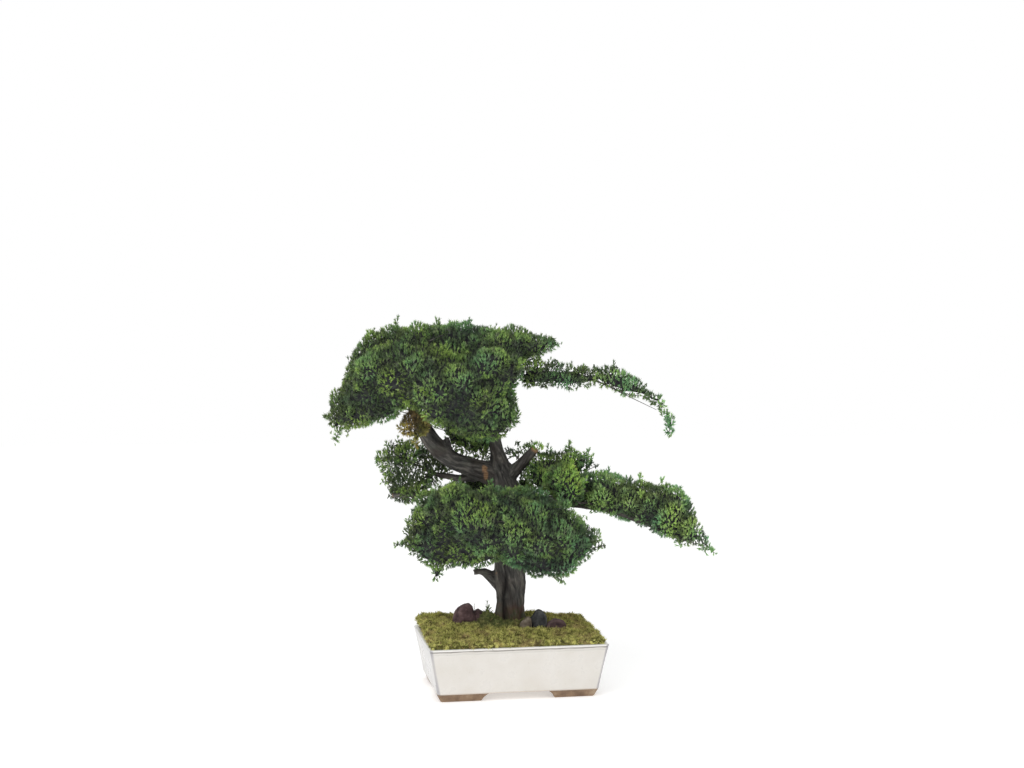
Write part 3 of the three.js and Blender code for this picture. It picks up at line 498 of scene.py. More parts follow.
# limbs, as [across, back, up, radius] along their middles
limbs = {
    "trunk": [
        [2, 22, 108, 40], [3, 22, 138, 35], [5, 21, 165, 29], [6, 20, 190, 29], [5, 20, 215, 31],
        [3, 20, 245, 33], [0, 22, 290, 31], [-4, 27, 335, 30], [-9, 32, 385, 31], [-12, 35, 430, 33],
        [-17, 37, 463, 28], [-22, 38, 492, 19], [-29, 36, 532, 12.5], [-38, 30, 590, 11], [-50, 22, 635, 8],
    ],
    "buttress": [
        [-22, 8, 112, 22], [-16, 6, 150, 17], [-13, 6, 190, 14], [-18, 10, 228, 15], [-18, 16, 275, 12],
    ],
    "left": [
        [-8, 35, 432, 24], [-45, 34, 460, 25], [-80, 30, 472, 22], [-113, 24, 485, 20.5],
        [-142, 16, 506, 20], [-166, 6, 533, 20], [-187, 0, 567, 17], [-204, -4, 606, 13.5],
        [-218, -8, 645, 10],
    ],
    "leftKnob": [[-130, 18, 505, 12], [-133, 13, 528, 9], [-133, 10, 541, 5]],
    "rightStub": [[-5, 36, 452, 22], [20, 30, 474, 14], [39, 22, 495, 11.5], [58, 15, 517, 10]],
    "brokenStub": [
        [0, 20, 205, 22], [-22, 15, 223, 16.5], [-42, 11, 240, 12], [-58, 8, 250, 8.5], [-73, 7, 249, 4],
    ],
    "cut": [[-8, 40, 395, 14], [-70, 62, 414, 9], [-160, 68, 413, 7], [-257, 62, 409, 6.5]],
    "midLeft": [[-50, 38, 455, 12], [-110, 62, 447, 9], [-165, 80, 455, 6]],
    "arching": [[-10, 0, 640, 8], [28, -10, 662, 7], [70, -22, 668, 5.5], [115, -28, 667, 4.5]],
    "lowLeft": [[-2, 18, 300, 16], [-36, -12, 315, 12], [-66, -36, 326, 8]],
    "lowFront": [[4, 5, 315, 15], [4, -26, 327, 11], [5, -56, 337, 8]],
    "lowRight": [[8, 15, 305, 16], [36, -12, 318, 12], [62, -38, 327, 8]],
    "right": [
        [-5, 34, 395, 18], [45, 22, 406, 13], [100, 8, 403, 11], [155, -8, 397, 9.5], [200, -22, 391, 8.5],
        [240, -38, 382, 7.5], [285, -58, 364, 6],
    ],
    "backLeft": [[-2, 40, 350, 14], [-20, 75, 360, 10], [-40, 105, 366, 7]],
    "backRight": [[2, 38, 335, 14], [25, 75, 348, 10], [50, 105, 358, 7]],
}


# evenly spaced places along a limb: middle, direction, radius and distance from its start
def limbStops(path, step=6 * mm):
    stops = []
    total = 0.0
    for (a, b, c, r), (d, e, f, s) in zip(path, path[1:]):
        start, end = place(a, b, c), place(d, e, f)
        length = (end - start).length
        count = max(1, round(length / step))
        for i in range(count):
            share = i / count
            radius = (r + (s - r) * share) * mm
            stops.append((start.lerp(end, share), (end - start) / length, radius, total + share * length))
        total += length
    stops.append((end, (end - start) / length, s * mm, total))
    return stops


limbPoints = {name: limbStops(path) for name, path in limbs.items()}


# a closed tube through points, added to a growth
def tube(growth, path, radii, sides):
    rings = []
    for i, point in enumerate(path):
        ahead = path[min(i + 1, len(path) - 1)] - path[max(i - 1, 0)]
        _, side, other = basisFor(ahead)
        first = len(growth.points)
        for j in range(sides):
            turn = fullTurn * j / sides
            growth.points.append(point + (side * math.cos(turn) + other * math.sin(turn)) * radii[i])
            growth.along.append(i / (len(path) - 1))
        rings.append(list(range(first, first + sides)))
    for low, high in zip(rings, rings[1:]):
        for j in range(sides):
            k = (j + 1) % sides
            growth.faces.append((low[j], low[k], high[k], high[j]))
    growth.faces.append(tuple(reversed(rings[0])))
    growth.faces.append(tuple(rings[-1]))


# even places on a smooth curve through points
def curveThrough(points, count):
    found = []
    last = len(points) - 1
    for i in range(count + 1):
        where = i / count * last
        k = min(int(where), last - 1)
        t = where - k
        before, a, b, after = (points[max(0, k - 1)], points[k], points[k + 1], points[min(last, k + 2)])
        found.append(0.5 * (2 * a + (b - before) * t + (2 * before - 5 * a + 4 * b - after) * t * t
                            + (3 * a - before - 3 * b + after) * t ** 3))
    return found


# the foliage pads, over the solids' own outlines; tips are [from, to, radius]
pads = {
    "crown": {
        "limbs": ["left", "trunk"], "seed": 1, "core": True, "twigs": 90, "shrink": -3, "plumes": 60,
        "split": -150,  # made in two pieces that meet this far across
        "tips": [
            [[-354, -8, 586], [-375, -12, 528], 8], [[-368, 14, 588], [-399, 10, 583], 5],
            [[88, -16, 742], [120, -20, 744], 5], [[-345, 20, 570], [-352, 30, 540], 5],
            [[-350, -4, 590], [-384, -8, 556], 14],
            [[-124, 58, 570], [-122, 62, 502], 20], [[-96, 60, 575], [-94, 64, 486], 22],
            [[-64, 60, 572], [-60, 64, 480], 22], [[-40, 62, 565], [-42, 66, 494], 16],
            [[-80, 66, 572], [-78, 70, 478], 20], [[-110, 66, 572], [-108, 70, 492], 20],
            [[-50, 66, 570], [-50, 70, 474], 18],
        ],
    },
    "crown_dying": {
        "limbs": ["left"], "seed": 2, "core": False, "twigs": 8, "leaf": dyingLeaf, "slot": "dying_leaf",
        "layers": (5, 11), "spacing": 0.85, "shrink": -5, "tips": [[[-198, -56, 548], [-192, -60, 522], 5]],
    },
    "mid_left_pad": {
        "limbs": ["midLeft"], "seed": 3, "core": False, "twigs": 70, "layers": (6, 13, 22), "plumes": 10,
        "shrink": -3,
        "tips": [
            [[-262, 84, 440], [-284, 78, 436], 5], [[-222, 84, 415], [-236, 80, 392], 6],
            [[-250, 84, 415], [-222, 82, 388], 8],
        ],
    },
    "low_pad": {
        "limbs": ["lowLeft", "lowFront", "lowRight"], "seed": 4, "core": True, "twigs": 60, "shrink": -3,
        "plumes": 44,
        "tips": [
            [[-150, -66, 268], [-153, -70, 243], 13], [[-228, -50, 318], [-246, -56, 314], 5],
            [[190, -60, 312], [208, -64, 316], 5], [[102, -96, 252], [120, -100, 243], 6],
        ],
    },
    "right_rising_pad": {
        "limbs": ["right"], "seed": 5, "core": True, "twigs": 16, "shrink": -3, "plumes": 14,
        "tips": [[[132, 30, 512], [134, 28, 540], 6], [[160, 20, 498], [176, 18, 516], 6]],
    },
    "right_bright_pad": {
        "limbs": ["right"], "seed": 6, "core": True, "twigs": 6, "leaf": brightLeaf, "slot": "bright_leaf",
        "shrink": -3, "plumes": 6, "tips": [],
    },
    "back_pad": {
        "limbs": ["backLeft", "backRight"], "seed": 7, "core": True, "twigs": 14, "shrink": -3,
        "tips": [
            [[-140, 126, 340], [-168, 132, 328], 5], [[-10, 196, 332], [-6, 222, 322], 5],
            [[42, 106, 378], [34, 84, 466], 24],
        ],
    },
    "stub_sprigs": {
        "limbs": ["rightStub"], "seed": 8, "core": False, "twigs": 3, "shrink": -4, "voxel": 3.5 * mm,
        "passes": 1, "tips": [[[20, 52, 504], [58, 28, 530], 8]],
    },
    "right_pad": {
        "limbs": ["right"], "seed": 9, "core": True, "twigs": 40, "shrink": -7, "plumes": 22,
        "layers": (5,), "tips": [[[418, -106, 318], [436, -112, 302], 5]],
    },
    "arching_branch": {
        "limbs": ["arching"], "seed": 10, "core": True, "twigs": 20, "shrink": -6, "voxel": 4.5 * mm,
        "plumes": 10, "tips": [[[339, -58, 583], [344, -58, 545], 5]],
    },
}

# the surface that a pad's sprigs grow from
guide = {
    "voxel": 7 * mm,
    "passes": 4,
    "lump": 78 * mm,
    "lumpDepth": 12 * mm,
    "bump": 36 * mm,
    "bumpDepth": 6 * mm,
    "underside": 0.85,  # share of sprigs kept underneath
    "plume": (12 * mm, 22 * mm),
    "plumeRadii": (4.5 * mm, 4 * mm, 1.5 * mm),
}
cover = {
    "spacing": 4.9 * mm, "density": 33000,
    "lift": 2.0,  # how far sprigs turn up from the surface
    "unrest": 0.55, "sizes": (0.75, 1.2),
    "layerDensity": 4500.0,
    "innerDepth": 8 * mm, "innerSpacing": 9 * mm, "innerDensity": 5200.0,
}
core = {
    "voxel": 11 * mm, "passes": 2, "depth": 13 * mm,
    "under": 0.45,  # share of that depth underneath
    "tipRadius": 12,  # tips from this radius have a core of their own, in millimetres
}


# how far the surface may move in at each point: a third of the way through at most
def wayIn(mesh):
    points, normals = getPoints(mesh), getNormals(mesh)
    tree = BVHTree.FromPolygons([tuple(p) for p in points], getFaces(mesh))
    room = np.full(len(points), 1.0)
    for i, (p, n) in enumerate(zip(points, normals)):
        inward = Vector(-n)
        hit = tree.ray_cast(Vector(p) + inward * (0.5 * mm), inward)
        if hit[3] is not None:
            room[i] = hit[3]
    return 0.33 * room


# moves a surface in by a depth, where there is room for it
def sink(mesh, depth):
    depth = np.minimum(depth, wayIn(mesh))
    setPoints(mesh, getPoints(mesh) - getNormals(mesh) * depth[:, None])


# a tapering tube for one of a pad's tips
def addTip(growth, tip, shares, girths, sides):
    start, end, radius = tip
    first, last = place(*start), place(*end)
    path = [first.lerp(last, share) for share in shares]
    tube(growth, path, [girth * radius * mm for girth in girths], sides)


def makeGuide(name, pad):
    sizes = {**guide, **pad}  # a pad's own sizes come before the guide's
    obj = melted(solidCopy(name, f"guide_{name}"), sizes["voxel"], sizes["passes"])
    mesh = obj.data
    points, normals = getPoints(mesh), getNormals(mesh)
    lump = cellsAt(points, guide["lump"], pad["seed"])
    bump = cellsAt(points, guide["bump"], pad["seed"] + 20)
    depth = pad["shrink"] * mm + (1 - lump) * guide["lumpDepth"] + (1 - bump) * guide["bumpDepth"]
    points = points - normals * np.minimum(depth, wayIn(mesh))[:, None]
    # how much shade is painted into the creases between lumps
    hollow = np.clip(0.8 * (1 - lump) + 0.4 * (1 - bump), 0, 1)
    kept = np.where(normals[:, 2] < -0.3, guide["underside"], 1.0)
    growth = Growth()
    for tip in pad["tips"]:
        addTip(growth, tip, (0, 0.5, 1), (1, 0.75, 0.25), 5)
    # feathery sprays that stand up from the top and the sides
    draw = random.Random(500 + pad["seed"])
    fit = [i for i in range(len(points)) if normals[i][2] > -0.25]
    for i in draw.sample(fit, pad.get("plumes", 0)):
        foot, way = Vector(points[i]), Vector(normals[i]) * 0.6 + Vector((0, 0, 0.9))
        way = way.normalized() * draw.uniform(*guide["plume"])
        tube(growth, [foot, foot + 0.6 * way, foot + way], guide["plumeRadii"], 4)
    offset, extra = len(points), len(growth.points)
    allPoints = [Vector(p) for p in points] + growth.points
    allFaces = getFaces(mesh) + [tuple(i + offset for i in face) for face in growth.faces]
    drop(obj)
    made = addMesh(f"guide_{name}", allPoints, allFaces)
    smoothed(made.data)
    setValues(made.data, "hollow", np.concatenate([hollow, np.zeros(extra)]))
    setValues(made.data, "cover", np.concatenate([kept, np.ones(extra)]))
    setValues(made.data, "thin", np.concatenate([np.zeros(offset), np.ones(extra)]))
    return made, points


# a copy of a surface with only its faces on one side of a place along X
def halved(obj, limit, keepLow):
    copy = linkedCopy(obj, "half")
    with editing(copy.data) as work:
        dropped = [f for f in work.faces if (f.calc_center_median().x < limit) != keepLow]
        bmesh.ops.delete(work, geom=dropped, context="FACES")
    return copy


# a copy of a surface, moved in, with more painted shade for its deeper sprigs
def sunkCopy(obj, depth):
    copy = linkedCopy(obj, "sunk")
    sink(copy.data, depth)
    hollow = np.empty(len(copy.data.vertices), np.float32)
    attribute = copy.data.attributes["hollow"].data
    attribute.foreach_get("value", hollow)
    attribute.foreach_set("value", 0.55 + 0.45 * hollow)
    return copy


# adds grown shapes to a mesh
def joined(obj, growth):
    with editing(obj.data) as work:
        added = [work.verts.new(p) for p in growth.points]
        for face in growth.faces:
            work.faces.new([added[i] for i in face])


# the inside of a dense pad, well behind its sprigs, coloured dark as painted shade
def makeCore(name, pad, surface):
    obj = linkedCopy(surface, f"{name}_inside")
    with editing(obj.data) as work:
        thin = work.verts.layers.float["thin"]
        bmesh.ops.delete(work, geom=[v for v in work.verts if v[thin] > 0.5], context="VERTS")
    mesh = melted(obj, core["voxel"], core["passes"]).data
    rough = 0.5 + 0.5 * noiseAt(getPoints(mesh), 14 * mm, 4)
    under = np.where(getNormals(mesh)[:, 2] < -0.2, core["under"], 1.0)
    sink(mesh, core["depth"] * (0.6 + 0.8 * rough) * under)
    growth = Growth()
    for tip in pad["tips"]:
        if tip[2] >= core["tipRadius"]:
            addTip(growth, tip, (0, 0.35, 0.7), (0.7, 0.5, 0.15), 6)
    joined(obj, growth)
    return obj


twig = {
    "branch": {"thick": 3.2, "thinning": 1.6, "bend": 0.12, "steps": 5, "sides": 5},
    "end": {"thick": 1.5, "thinning": 0.8, "bend": 0.16, "steps": 4, "sides": 4},
    "tip": (1.6 * mm, 1.3 * mm, 1 * mm, 0.5 * mm),
}


# twigs that fork from the limbs' ends to places on the pad
def makeTwigs(name, pad, points):
    draw = random.Random(300 + pad["seed"])
    growth = Growth()

    def grow(start, end, span, size):
        lift = Vector((draw.uniform(-1, 1), draw.uniform(-1, 1), draw.uniform(-0.6, 1)))
        lift = lift * size["bend"] * span
        path = curveThrough([start, start.lerp(end, 0.5) + lift, end], size["steps"])
        radii = [(size["thick"] - size["thinning"] * j / size["steps"]) * mm for j in range(len(path))]
        tube(growth, path, radii, size["sides"])

    sources = [stop[0] for limb in pad["limbs"] for stop in limbPoints[limb][-14:]]
    middle = Vector(points.mean(axis=0))
    targets = [Vector(points[draw.randrange(len(points))]).lerp(middle, 0.06) for _ in range(pad["twigs"])]
    hubs = [draw.choice(targets).copy() for _ in range(max(2, pad["twigs"] // 8))]
    grouped = [[] for _ in hubs]
    for target in targets:
        nearest = min(range(len(hubs)), key=lambda i: (hubs[i] - target).length)
        grouped[nearest].append(target)
    for members in filter(None, grouped):
        middle = sum(members, Vector()) / len(members)
        anchor = min(sources, key=lambda p: (p - middle).length)
        fork = anchor.lerp(middle, 0.72)
        grow(anchor, fork, (fork - anchor).length, twig["branch"])
        for target in members:
            grow(fork, target, (target - anchor.lerp(fork, draw.uniform(0.75, 1))).length, twig["end"])
    for start, end, _ in pad["tips"]:
        first, last = place(*start), place(*end)
        tube(growth, [first.lerp(last, share) for share in (-0.6, 0, 0.5, 0.8)], twig["tip"], 4)
    return addMesh(f"{name}_twigs", growth.points, growth.faces)


def barkMaterial():
    shade = Shade("bark")
    flow = shade.attribute("barkFlow", "Vector")
    ridges = shade.noise(1.0, 4, 0.6, shade.stretch(flow, (120, 120, 26)), 0.4)
    grain = shade.noise(1.0, 5, 0.65, shade.stretch(flow, (420, 420, 90)))
    greys = [(0.34, paint(52, 50, 49)), (0.52, paint(90, 88, 85)), (0.7, paint(138, 134, 126))]
    colour = shade.ramp(ridges, greys)
    colour = shade.over(colour, paint(84, 72, 64), shade.noise(26, 3), 0.45, 0.65, 0, 0.4)
    colour = shade.over(colour, paint(104, 110, 98), shade.noise(40, 2), 0.55, 0.7, 0, 0.3)
    colour = shade.over(colour, paint(34, 32, 31), grain, 0.35, 0.65, 0.35, 0)
    bare = shade.ramp(grain, [(0.3, paint(112, 82, 56)), (0.65, paint(180, 144, 110))])
    colour = shade.mix(shade.attribute("wound"), colour, bare)
    rusty = shade.ramp(shade.noise(55, 3), [(0.4, paint(96, 66, 52)), (0.6, paint(84, 88, 56))])
    colour = shade.mix(shade.attribute("mossy"), colour, rusty)
    # painted shade darkens the trunk's deep crease
    colour = shade.over(colour, paint(22, 20, 22), shade.attribute("crease"), 0, 1, 0, 0.75)
    height = shade.sum("ADD", shade.sum("MULTIPLY", ridges, 0.6), shade.sum("MULTIPLY", grain, 0.4))
    shade.bump(height, 0.0028, 0.9)
    return shade.done(colour, 0.85, 0.25)


bark = barkMaterial()


def dressPad(name, pad):
    surface, points = makeGuide(name, pad)
    material, slotName = pad.get("leaf", leaf), pad.get("slot", "juniper_leaf")
    wider = pad.get("spacing", 1)
    smallest, largest = cover["sizes"]
    values = {
        "Shapes": sprigs, "Spacing": cover["spacing"] * wider, "Density": cover["density"] / wider ** 2,
        "Lift": cover["lift"], "Unrest": cover["unrest"], "Smallest": smallest, "Largest": largest,
        "Seed": pad["seed"], "Finish": material,
    }

    def addSprigs(under, pieceName):
        finish(scattered(under, pieceName, values), material, name)

    if "split" in pad:
        for side in ("left", "right"):
            half = halved(surface, place(pad["split"], 0, 0).x, side == "left")
            addSprigs(half, f"{name}_{side}_sprigs")
            drop(half)
    else:
        addSprigs(surface, f"{name}_sprigs")
    for depth in pad.get("layers", ()):
        sunk = sunkCopy(surface, depth * mm)
        values.update({"Seed": pad["seed"] + 10 + depth, "Density": cover["layerDensity"]})
        addSprigs(sunk, f"{name}_sprigs_{depth}")
        drop(sunk)
    if pad["core"]:
        sunk = sunkCopy(surface, cover["innerDepth"])
        values.update({"Shapes": innerSprigs, "Spacing": cover["innerSpacing"],
                       "Density": cover["innerDensity"], "Seed": pad["seed"] + 30})
        addSprigs(sunk, f"{name}_inner_sprigs")
        drop(sunk)
        finish(makeCore(name, pad, surface), innerLeaf, name)
    twigs = makeTwigs(name, pad, points)
    setValues(twigs.data, "barkFlow", getPoints(twigs.data))
    finish(twigs, bark)
    drop(surface)


print("stage: pads")
for name, pad in pads.items():
    dressPad(name, pad)
    print("  ", name)


# the yellow-green shoots round the right stub's cut end
stubTip = {
    "shoots": 110, "length": 9 * mm, "at": (63, 15, 517), "reach": (10, 8, 10), "seed": 61,
    "turns": (0, 6.28), "rises": (-0.5, 1), "tint": 0.8,
}


def makeStubTip():
    draw = random.Random(stubTip["seed"])
    growth = Growth()
    across, back, up = stubTip["at"]
    wide, deep, high = stubTip["reach"]
    for _ in range(stubTip["shoots"]):
        turn, rise = draw.uniform(*stubTip["turns"]), draw.uniform(*stubTip["rises"])
        flat = math.sqrt(1 - rise * rise)
        aside, behind = flat * math.cos(turn), flat * math.sin(turn)
        foot = place(across + wide * aside, back + deep * behind, up + high * rise)
        towards = foot - place(across, back, up - 8)
        growth.spike(foot, towards, stubTip["length"] * draw.uniform(0.6, 1.1), sprig["width"])
    obj = addMesh("stub_tip_sprigs", growth.points, growth.faces)
    setValues(obj.data, "along", growth.along)
    setValues(obj.data, "tint", [stubTip["tint"]] * len(growth.points))
    setValues(obj.data, "hollow", [0.0] * len(growth.points))
    return obj


finish(makeStubTip(), brightLeaf)


# the wood: the grown solid with ridged bark

wood = {
    "voxel": 3 * mm, "passes": 4,
    "splinters": 9, "splintersAt": (-66, 8, 250),
    "twist": 6.0,  # radians that the grain winds round a limb in a metre
    # relief as [height, size, stretch along the limb], in millimetres
    "muscle": (2.2, 22, 0.22), "ridge": (2.2, 8, 0.2), "fine": (0.5, 4.2, 0.35),
    "fullRelief": 25 * mm,  # radius of a limb that has the whole relief
    # bare places as [across, back, up, radius, tallness]
    "wounds": [(-51, 10, 476, 5.5, 1.7), (-48, 12, 457, 4, 2), (-27, -6, 248, 5, 1), (59, 11, 518, 8.5, 1)],
    "cutEnd": (-257, 62, 409),
    "mossy": (0.14, 0.195),  # heights between which the foot's moss gives way to bark
}
# the deep crease that parts the trunk's foot in two
crease = {
    "across": -9 * mm, "sway": 4 * mm, "width": 5 * mm, "depth": 9 * mm, "top": 268 * mm, "fade": 40 * mm,
}


# splinters on the broken stub
def growSplinters():
    growth = Growth()
    draw = random.Random(77)
    end = place(*wood["splintersAt"])
    for _ in range(wood["splinters"]):
        foot = end + Vector((draw.uniform(-4, 8), draw.uniform(-6, 6), draw.uniform(-6, 6))) * mm
        tip = foot + Vector((draw.uniform(-20, -8), draw.uniform(-5, 5), draw.uniform(-6, 9))) * mm
        tube(growth, [foot, foot.lerp(tip, 0.5), tip], [3.4 * mm, 2.2 * mm, 0.9 * mm], 5)
    return growth


# each point's place round and along its nearest limb, turned with the grain, and that limb's radius
def grainAt(points, batch=4000):
    stops = [stop for limb in limbPoints.values() for stop in limb]
    middles, ways, radii, lengths = (np.array(column) for column in zip(*stops))
    nearest = np.empty(len(points), int)
    for start in range(0, len(points), batch):
        part = points[start:start + batch]
        distance = np.linalg.norm(part[:, None] - middles[None], axis=2) - radii[None]
        nearest[start:start + batch] = distance.argmin(axis=1)
    away = points - middles[nearest]
    way = ways[nearest]
    along = (away * way).sum(axis=1)
    away -= way * along[:, None]
    reference = np.array([0.2, 1.0, 0.05])
    side = reference - way * (way @ reference)[:, None]
    side /= np.linalg.norm(side, axis=1)[:, None]
    other = np.cross(way, side)
    reached = lengths[nearest] + along
    twist = wood["twist"] * reached
    x, y = (away * side).sum(axis=1), (away * other).sum(axis=1)
    turned = (x * np.cos(twist) - y * np.sin(twist), x * np.sin(twist) + y * np.cos(twist))
    return np.column_stack([*turned, reached]), radii[nearest]


def creaseAt(points, normals):
    across = points[:, 0] * bestCos - points[:, 1] * bestSin
    facing = -(normals[:, 0] * bestSin + normals[:, 1] * bestCos)
    off = across - (crease["across"] + crease["sway"] * noiseAt(points * [0, 0, 1], 40 * mm, 9))
    crack = np.exp(-((off / crease["width"]) ** 2)) * smoothstep(0.1, 0.4, facing)
    return crack * (1 - smoothstep(crease["top"] - crease["fade"], crease["top"], points[:, 2]))


def woundAt(points):
    wound = np.zeros(len(points))
    ragged = noiseAt(points, 7 * mm, 8)
    for across, back, up, radius, tall in wood["wounds"]:
        reach = np.linalg.norm((points - np.array(place(across, back, up))) / [1, 1, tall], axis=1)
        reach = reach + 0.6 * radius * mm * ragged
        wound = np.maximum(wound, 1 - smoothstep(radius * mm, 1.5 * radius * mm, reach))
    cut = np.linalg.norm(points - np.array(place(*wood["cutEnd"])), axis=1)
    return np.maximum(wound, 0.5 * (1 - smoothstep(4 * mm, 7 * mm, cut)))


def makeWood():
    obj = solidCopy("wood", "wood_bark")
    joined(obj, growSplinters())
    obj = melted(obj, wood["voxel"], wood["passes"])
    mesh = obj.data
    points, normals = getPoints(mesh), getNormals(mesh)
    flow, girth = grainAt(points)

    def relief(part, seed):
        _, size, stretch = wood[part]
        return noiseAt(flow * [1, 1, stretch], size * mm, seed)

    muscle = wood["muscle"][0] * relief("muscle", 1)
    ridge = wood["ridge"][0] * (1 - np.abs(relief("ridge", 2)) - 0.75)
    fine = wood["fine"][0] * relief("fine", 3)
    weight = np.clip(girth / wood["fullRelief"], 0.25, 1.2)
    crack = creaseAt(points, normals)
    height = weight * (muscle + ridge + fine) * mm - crease["depth"] * crack
    setPoints(mesh, points + normals * height[:, None])
    # the crease's depth also sets how much shade is painted into it
    setValues(mesh, "crease", crack)
    setValues(mesh, "barkFlow", flow)
    setValues(mesh, "wound", woundAt(points))
    low, high = wood["mossy"]
    mossy = 1 - smoothstep(low, high, points[:, 2] + 0.022 * noiseAt(points, 14 * mm, 5))
    setValues(mesh, "mossy", 0.8 * mossy)
    smoothed(mesh)
    return obj


print("stage: wood")
finish(makeWood(), bark, "wood")


# the pot

pot = {
    "width": 380 * mm, "depth": 288 * mm, "height": 113.5 * mm, "taper": 18.5 * mm, "wall": 10 * mm,
    "floor": 10 * mm, "corner": 7 * mm, "lip": 4 * mm, "groove": 1.2 * mm,
    "drain": 88 * mm, "drainRadius": 14 * mm,
    "waver": 0.5 * mm,  # how uneven the hand-made outside is
}
foot = {
    "height": 15.5 * mm, "along": 108 * mm, "across": 84 * mm, "width": 22 * mm, "inset": 7.5 * mm,
    "slope": 14 * mm, "corner": 5 * mm, "bevel": 0.9 * mm,
}


def potRing(inset, height, radius):
    halfWidth, halfDepth = pot["width"] / 2 - inset, pot["depth"] / 2 - inset
    steps, ring = 7, []
    for corner in range(4):
        signX = 1 if corner in (0, 3) else -1
        signY = 1 if corner < 2 else -1
        arc = []
        for step in range(steps + 1):
            angle = (corner + step / steps) * math.pi / 2
            arc.append(Vector((signX * (halfWidth - radius) + radius * math.cos(angle),
                               signY * (halfDepth - radius) + radius * math.sin(angle), height)))
        if ring:
            before = ring[-1]
            count = 14 if corner in (1, 3) else 10
            ring += [before.lerp(arc[0], i / count) for i in range(1, count)]
        ring += arc
    before, first = ring[-1], ring[0]
    ring += [before.lerp(first, i / 10) for i in range(1, 10)]
    return ring


def loftRings(growth, rings):
    first = len(growth.points)
    count = len(rings[0])
    for ring in rings:
        growth.points += ring
    for level in range(len(rings) - 1):
        base = first + level * count
        for i in range(count):
            j = (i + 1) % count
            growth.faces.append((base + i, base + j, base + count + j, base + count + i))
    growth.faces.append(tuple(reversed(range(first, first + count))))
    last = first + (len(rings) - 1) * count
    growth.faces.append(tuple(range(last, last + count)))


def wallInset(height):
    return pot["taper"] * (pot["height"] - height) / (pot["height"] - foot["height"])


# the pot's wall from its foot up over the rim and down inside, as [inset, height, corner radius]
def potLevels():
    corner, top, wall = pot["corner"], pot["height"], pot["wall"]
    lipFoot = top - pot["lip"]
    cavity = foot["height"] + pot["floor"]
    levels = [
        (pot["taper"] + 2.2 * mm, foot["height"], corner),
        (pot["taper"] + 0.4 * mm, foot["height"] + 0.8 * mm, corner),
        (pot["taper"] - 0.4 * mm, foot["height"] + 2.2 * mm, corner),
    ]
    for share in (0.15, 0.35, 0.55, 0.75, 0.9):
        height = foot["height"] + share * (lipFoot - 2.5 * mm - foot["height"])
        levels.append((wallInset(height) + 0.7 * mm * math.sin(3.14 * share), height, corner))
    return levels + [
        (wallInset(lipFoot - 2.5 * mm), lipFoot - 2.5 * mm, corner),
        (wallInset(lipFoot - 1 * mm) + 0.6 * mm, lipFoot - 1.2 * mm, corner),
        (wallInset(lipFoot - 1 * mm) + pot["groove"], lipFoot - 0.5 * mm, corner),
        (0.7 * mm, lipFoot, corner),
        (0.1 * mm, lipFoot + 0.8 * mm, corner),
        (0.0, lipFoot + 1.6 * mm, corner),
        (0.1 * mm, top - 1.6 * mm, corner),
        (0.7 * mm, top - 0.5 * mm, 6 * mm),
        (1.8 * mm, top, 5 * mm),
        (wall - 2 * mm, top, 3.5 * mm),
        (wall - 0.7 * mm, top - 0.4 * mm, 3 * mm),
        (wall, top - 2 * mm, 3 * mm),
        (wall + wallInset(cavity), cavity, 3 * mm),
    ]


def drainRing(side, height):
    radius, turns = pot["drainRadius"], [t * math.pi / 16 for t in range(32)]
    return [Vector((side * pot["drain"] + radius * math.cos(turn), radius * math.sin(turn), height))
            for turn in turns]


def makePotBody():
    growth = Growth()
    loftRings(growth, [potRing(*level) for level in potLevels()])
    body = addMesh("pot_body", growth.points, growth.faces)
    drills = []
    for side in (-1, 1):
        hole = Growth()
        loftRings(hole, [drainRing(side, 0.0), drainRing(side, 40 * mm)])
        drill = addMesh(f"drill_{side}", hole.points, hole.faces)
        cut = body.modifiers.new("cut", "BOOLEAN")
        cut.operation = "DIFFERENCE"
        cut.object = drill
        drills.append(drill)
    applied(body)
    for drill in drills:
        drop(drill)
    mesh = body.data
    points = getPoints(mesh)
    waver = np.array([[1, 1, 0.4]]) * noiseAt(points, 90 * mm, 2)[:, None] * pot["waver"]
    outside = (np.abs(points[:, 0]) > 0.16) | (np.abs(points[:, 1]) > 0.118)
    setPoints(mesh, points + waver * outside[:, None] * (points[:, 2:3] > 0.02))
    smoothed(mesh)
    mesh.set_sharp_from_angle(angle=math.radians(50))
    return body


# one level of an L-shaped foot, as [x, y] in the pot's quarter
def footOutline(share):
    inset = foot["inset"] * (1 - share) ** 0.9 + 0.6 * mm
    ends = foot["slope"] * (1 - share ** 1.7)
    if share == 0:  # the worn lower edge
        inset += 0.8 * mm
        ends += 0.8 * mm
    outerX = pot["width"] / 2 - pot["taper"] - inset
    outerY = pot["depth"] / 2 - pot["taper"] - inset
    along = foot["along"] - inset - ends
    across = foot["across"] - inset - ends
    inner = foot["width"] - inset
    outline = []
    for step in range(5):  # rounded outer corner
        angle = math.pi / 2 * step / 4
        outline.append((outerX - foot["corner"] * (1 - math.cos(angle)),
                        outerY - foot["corner"] * (1 - math.sin(angle))))
    return outline + [
        (outerX - along, outerY), (outerX - along, outerY - inner), (outerX - inner, outerY - inner),
        (outerX - inner, outerY - across), (outerX, outerY - across),
    ]


def makeFeet():
    growth = Growth()
    for signX, signY in ((1, 1), (-1, 1), (-1, -1), (1, -1)):
        rings = []
        for share in (0, 0.06, 0.2, 0.4, 0.6, 0.8, 1.0):
            height = share * (foot["height"] + 0.5 * mm)
            ring = [Vector((signX * x, signY * y, height)) for x, y in footOutline(share)]
            rings.append(ring if signX * signY > 0 else ring[::-1])
        loftRings(growth, rings)
    obj = addMesh("pot_feet", growth.points, growth.faces)
    bevel = obj.modifiers.new("bevel", "BEVEL")
    bevel.width = foot["bevel"]
    bevel.segments = 2
    bevel.limit_method = "ANGLE"
    bevel.angle_limit = math.radians(40)
    return applied(obj)
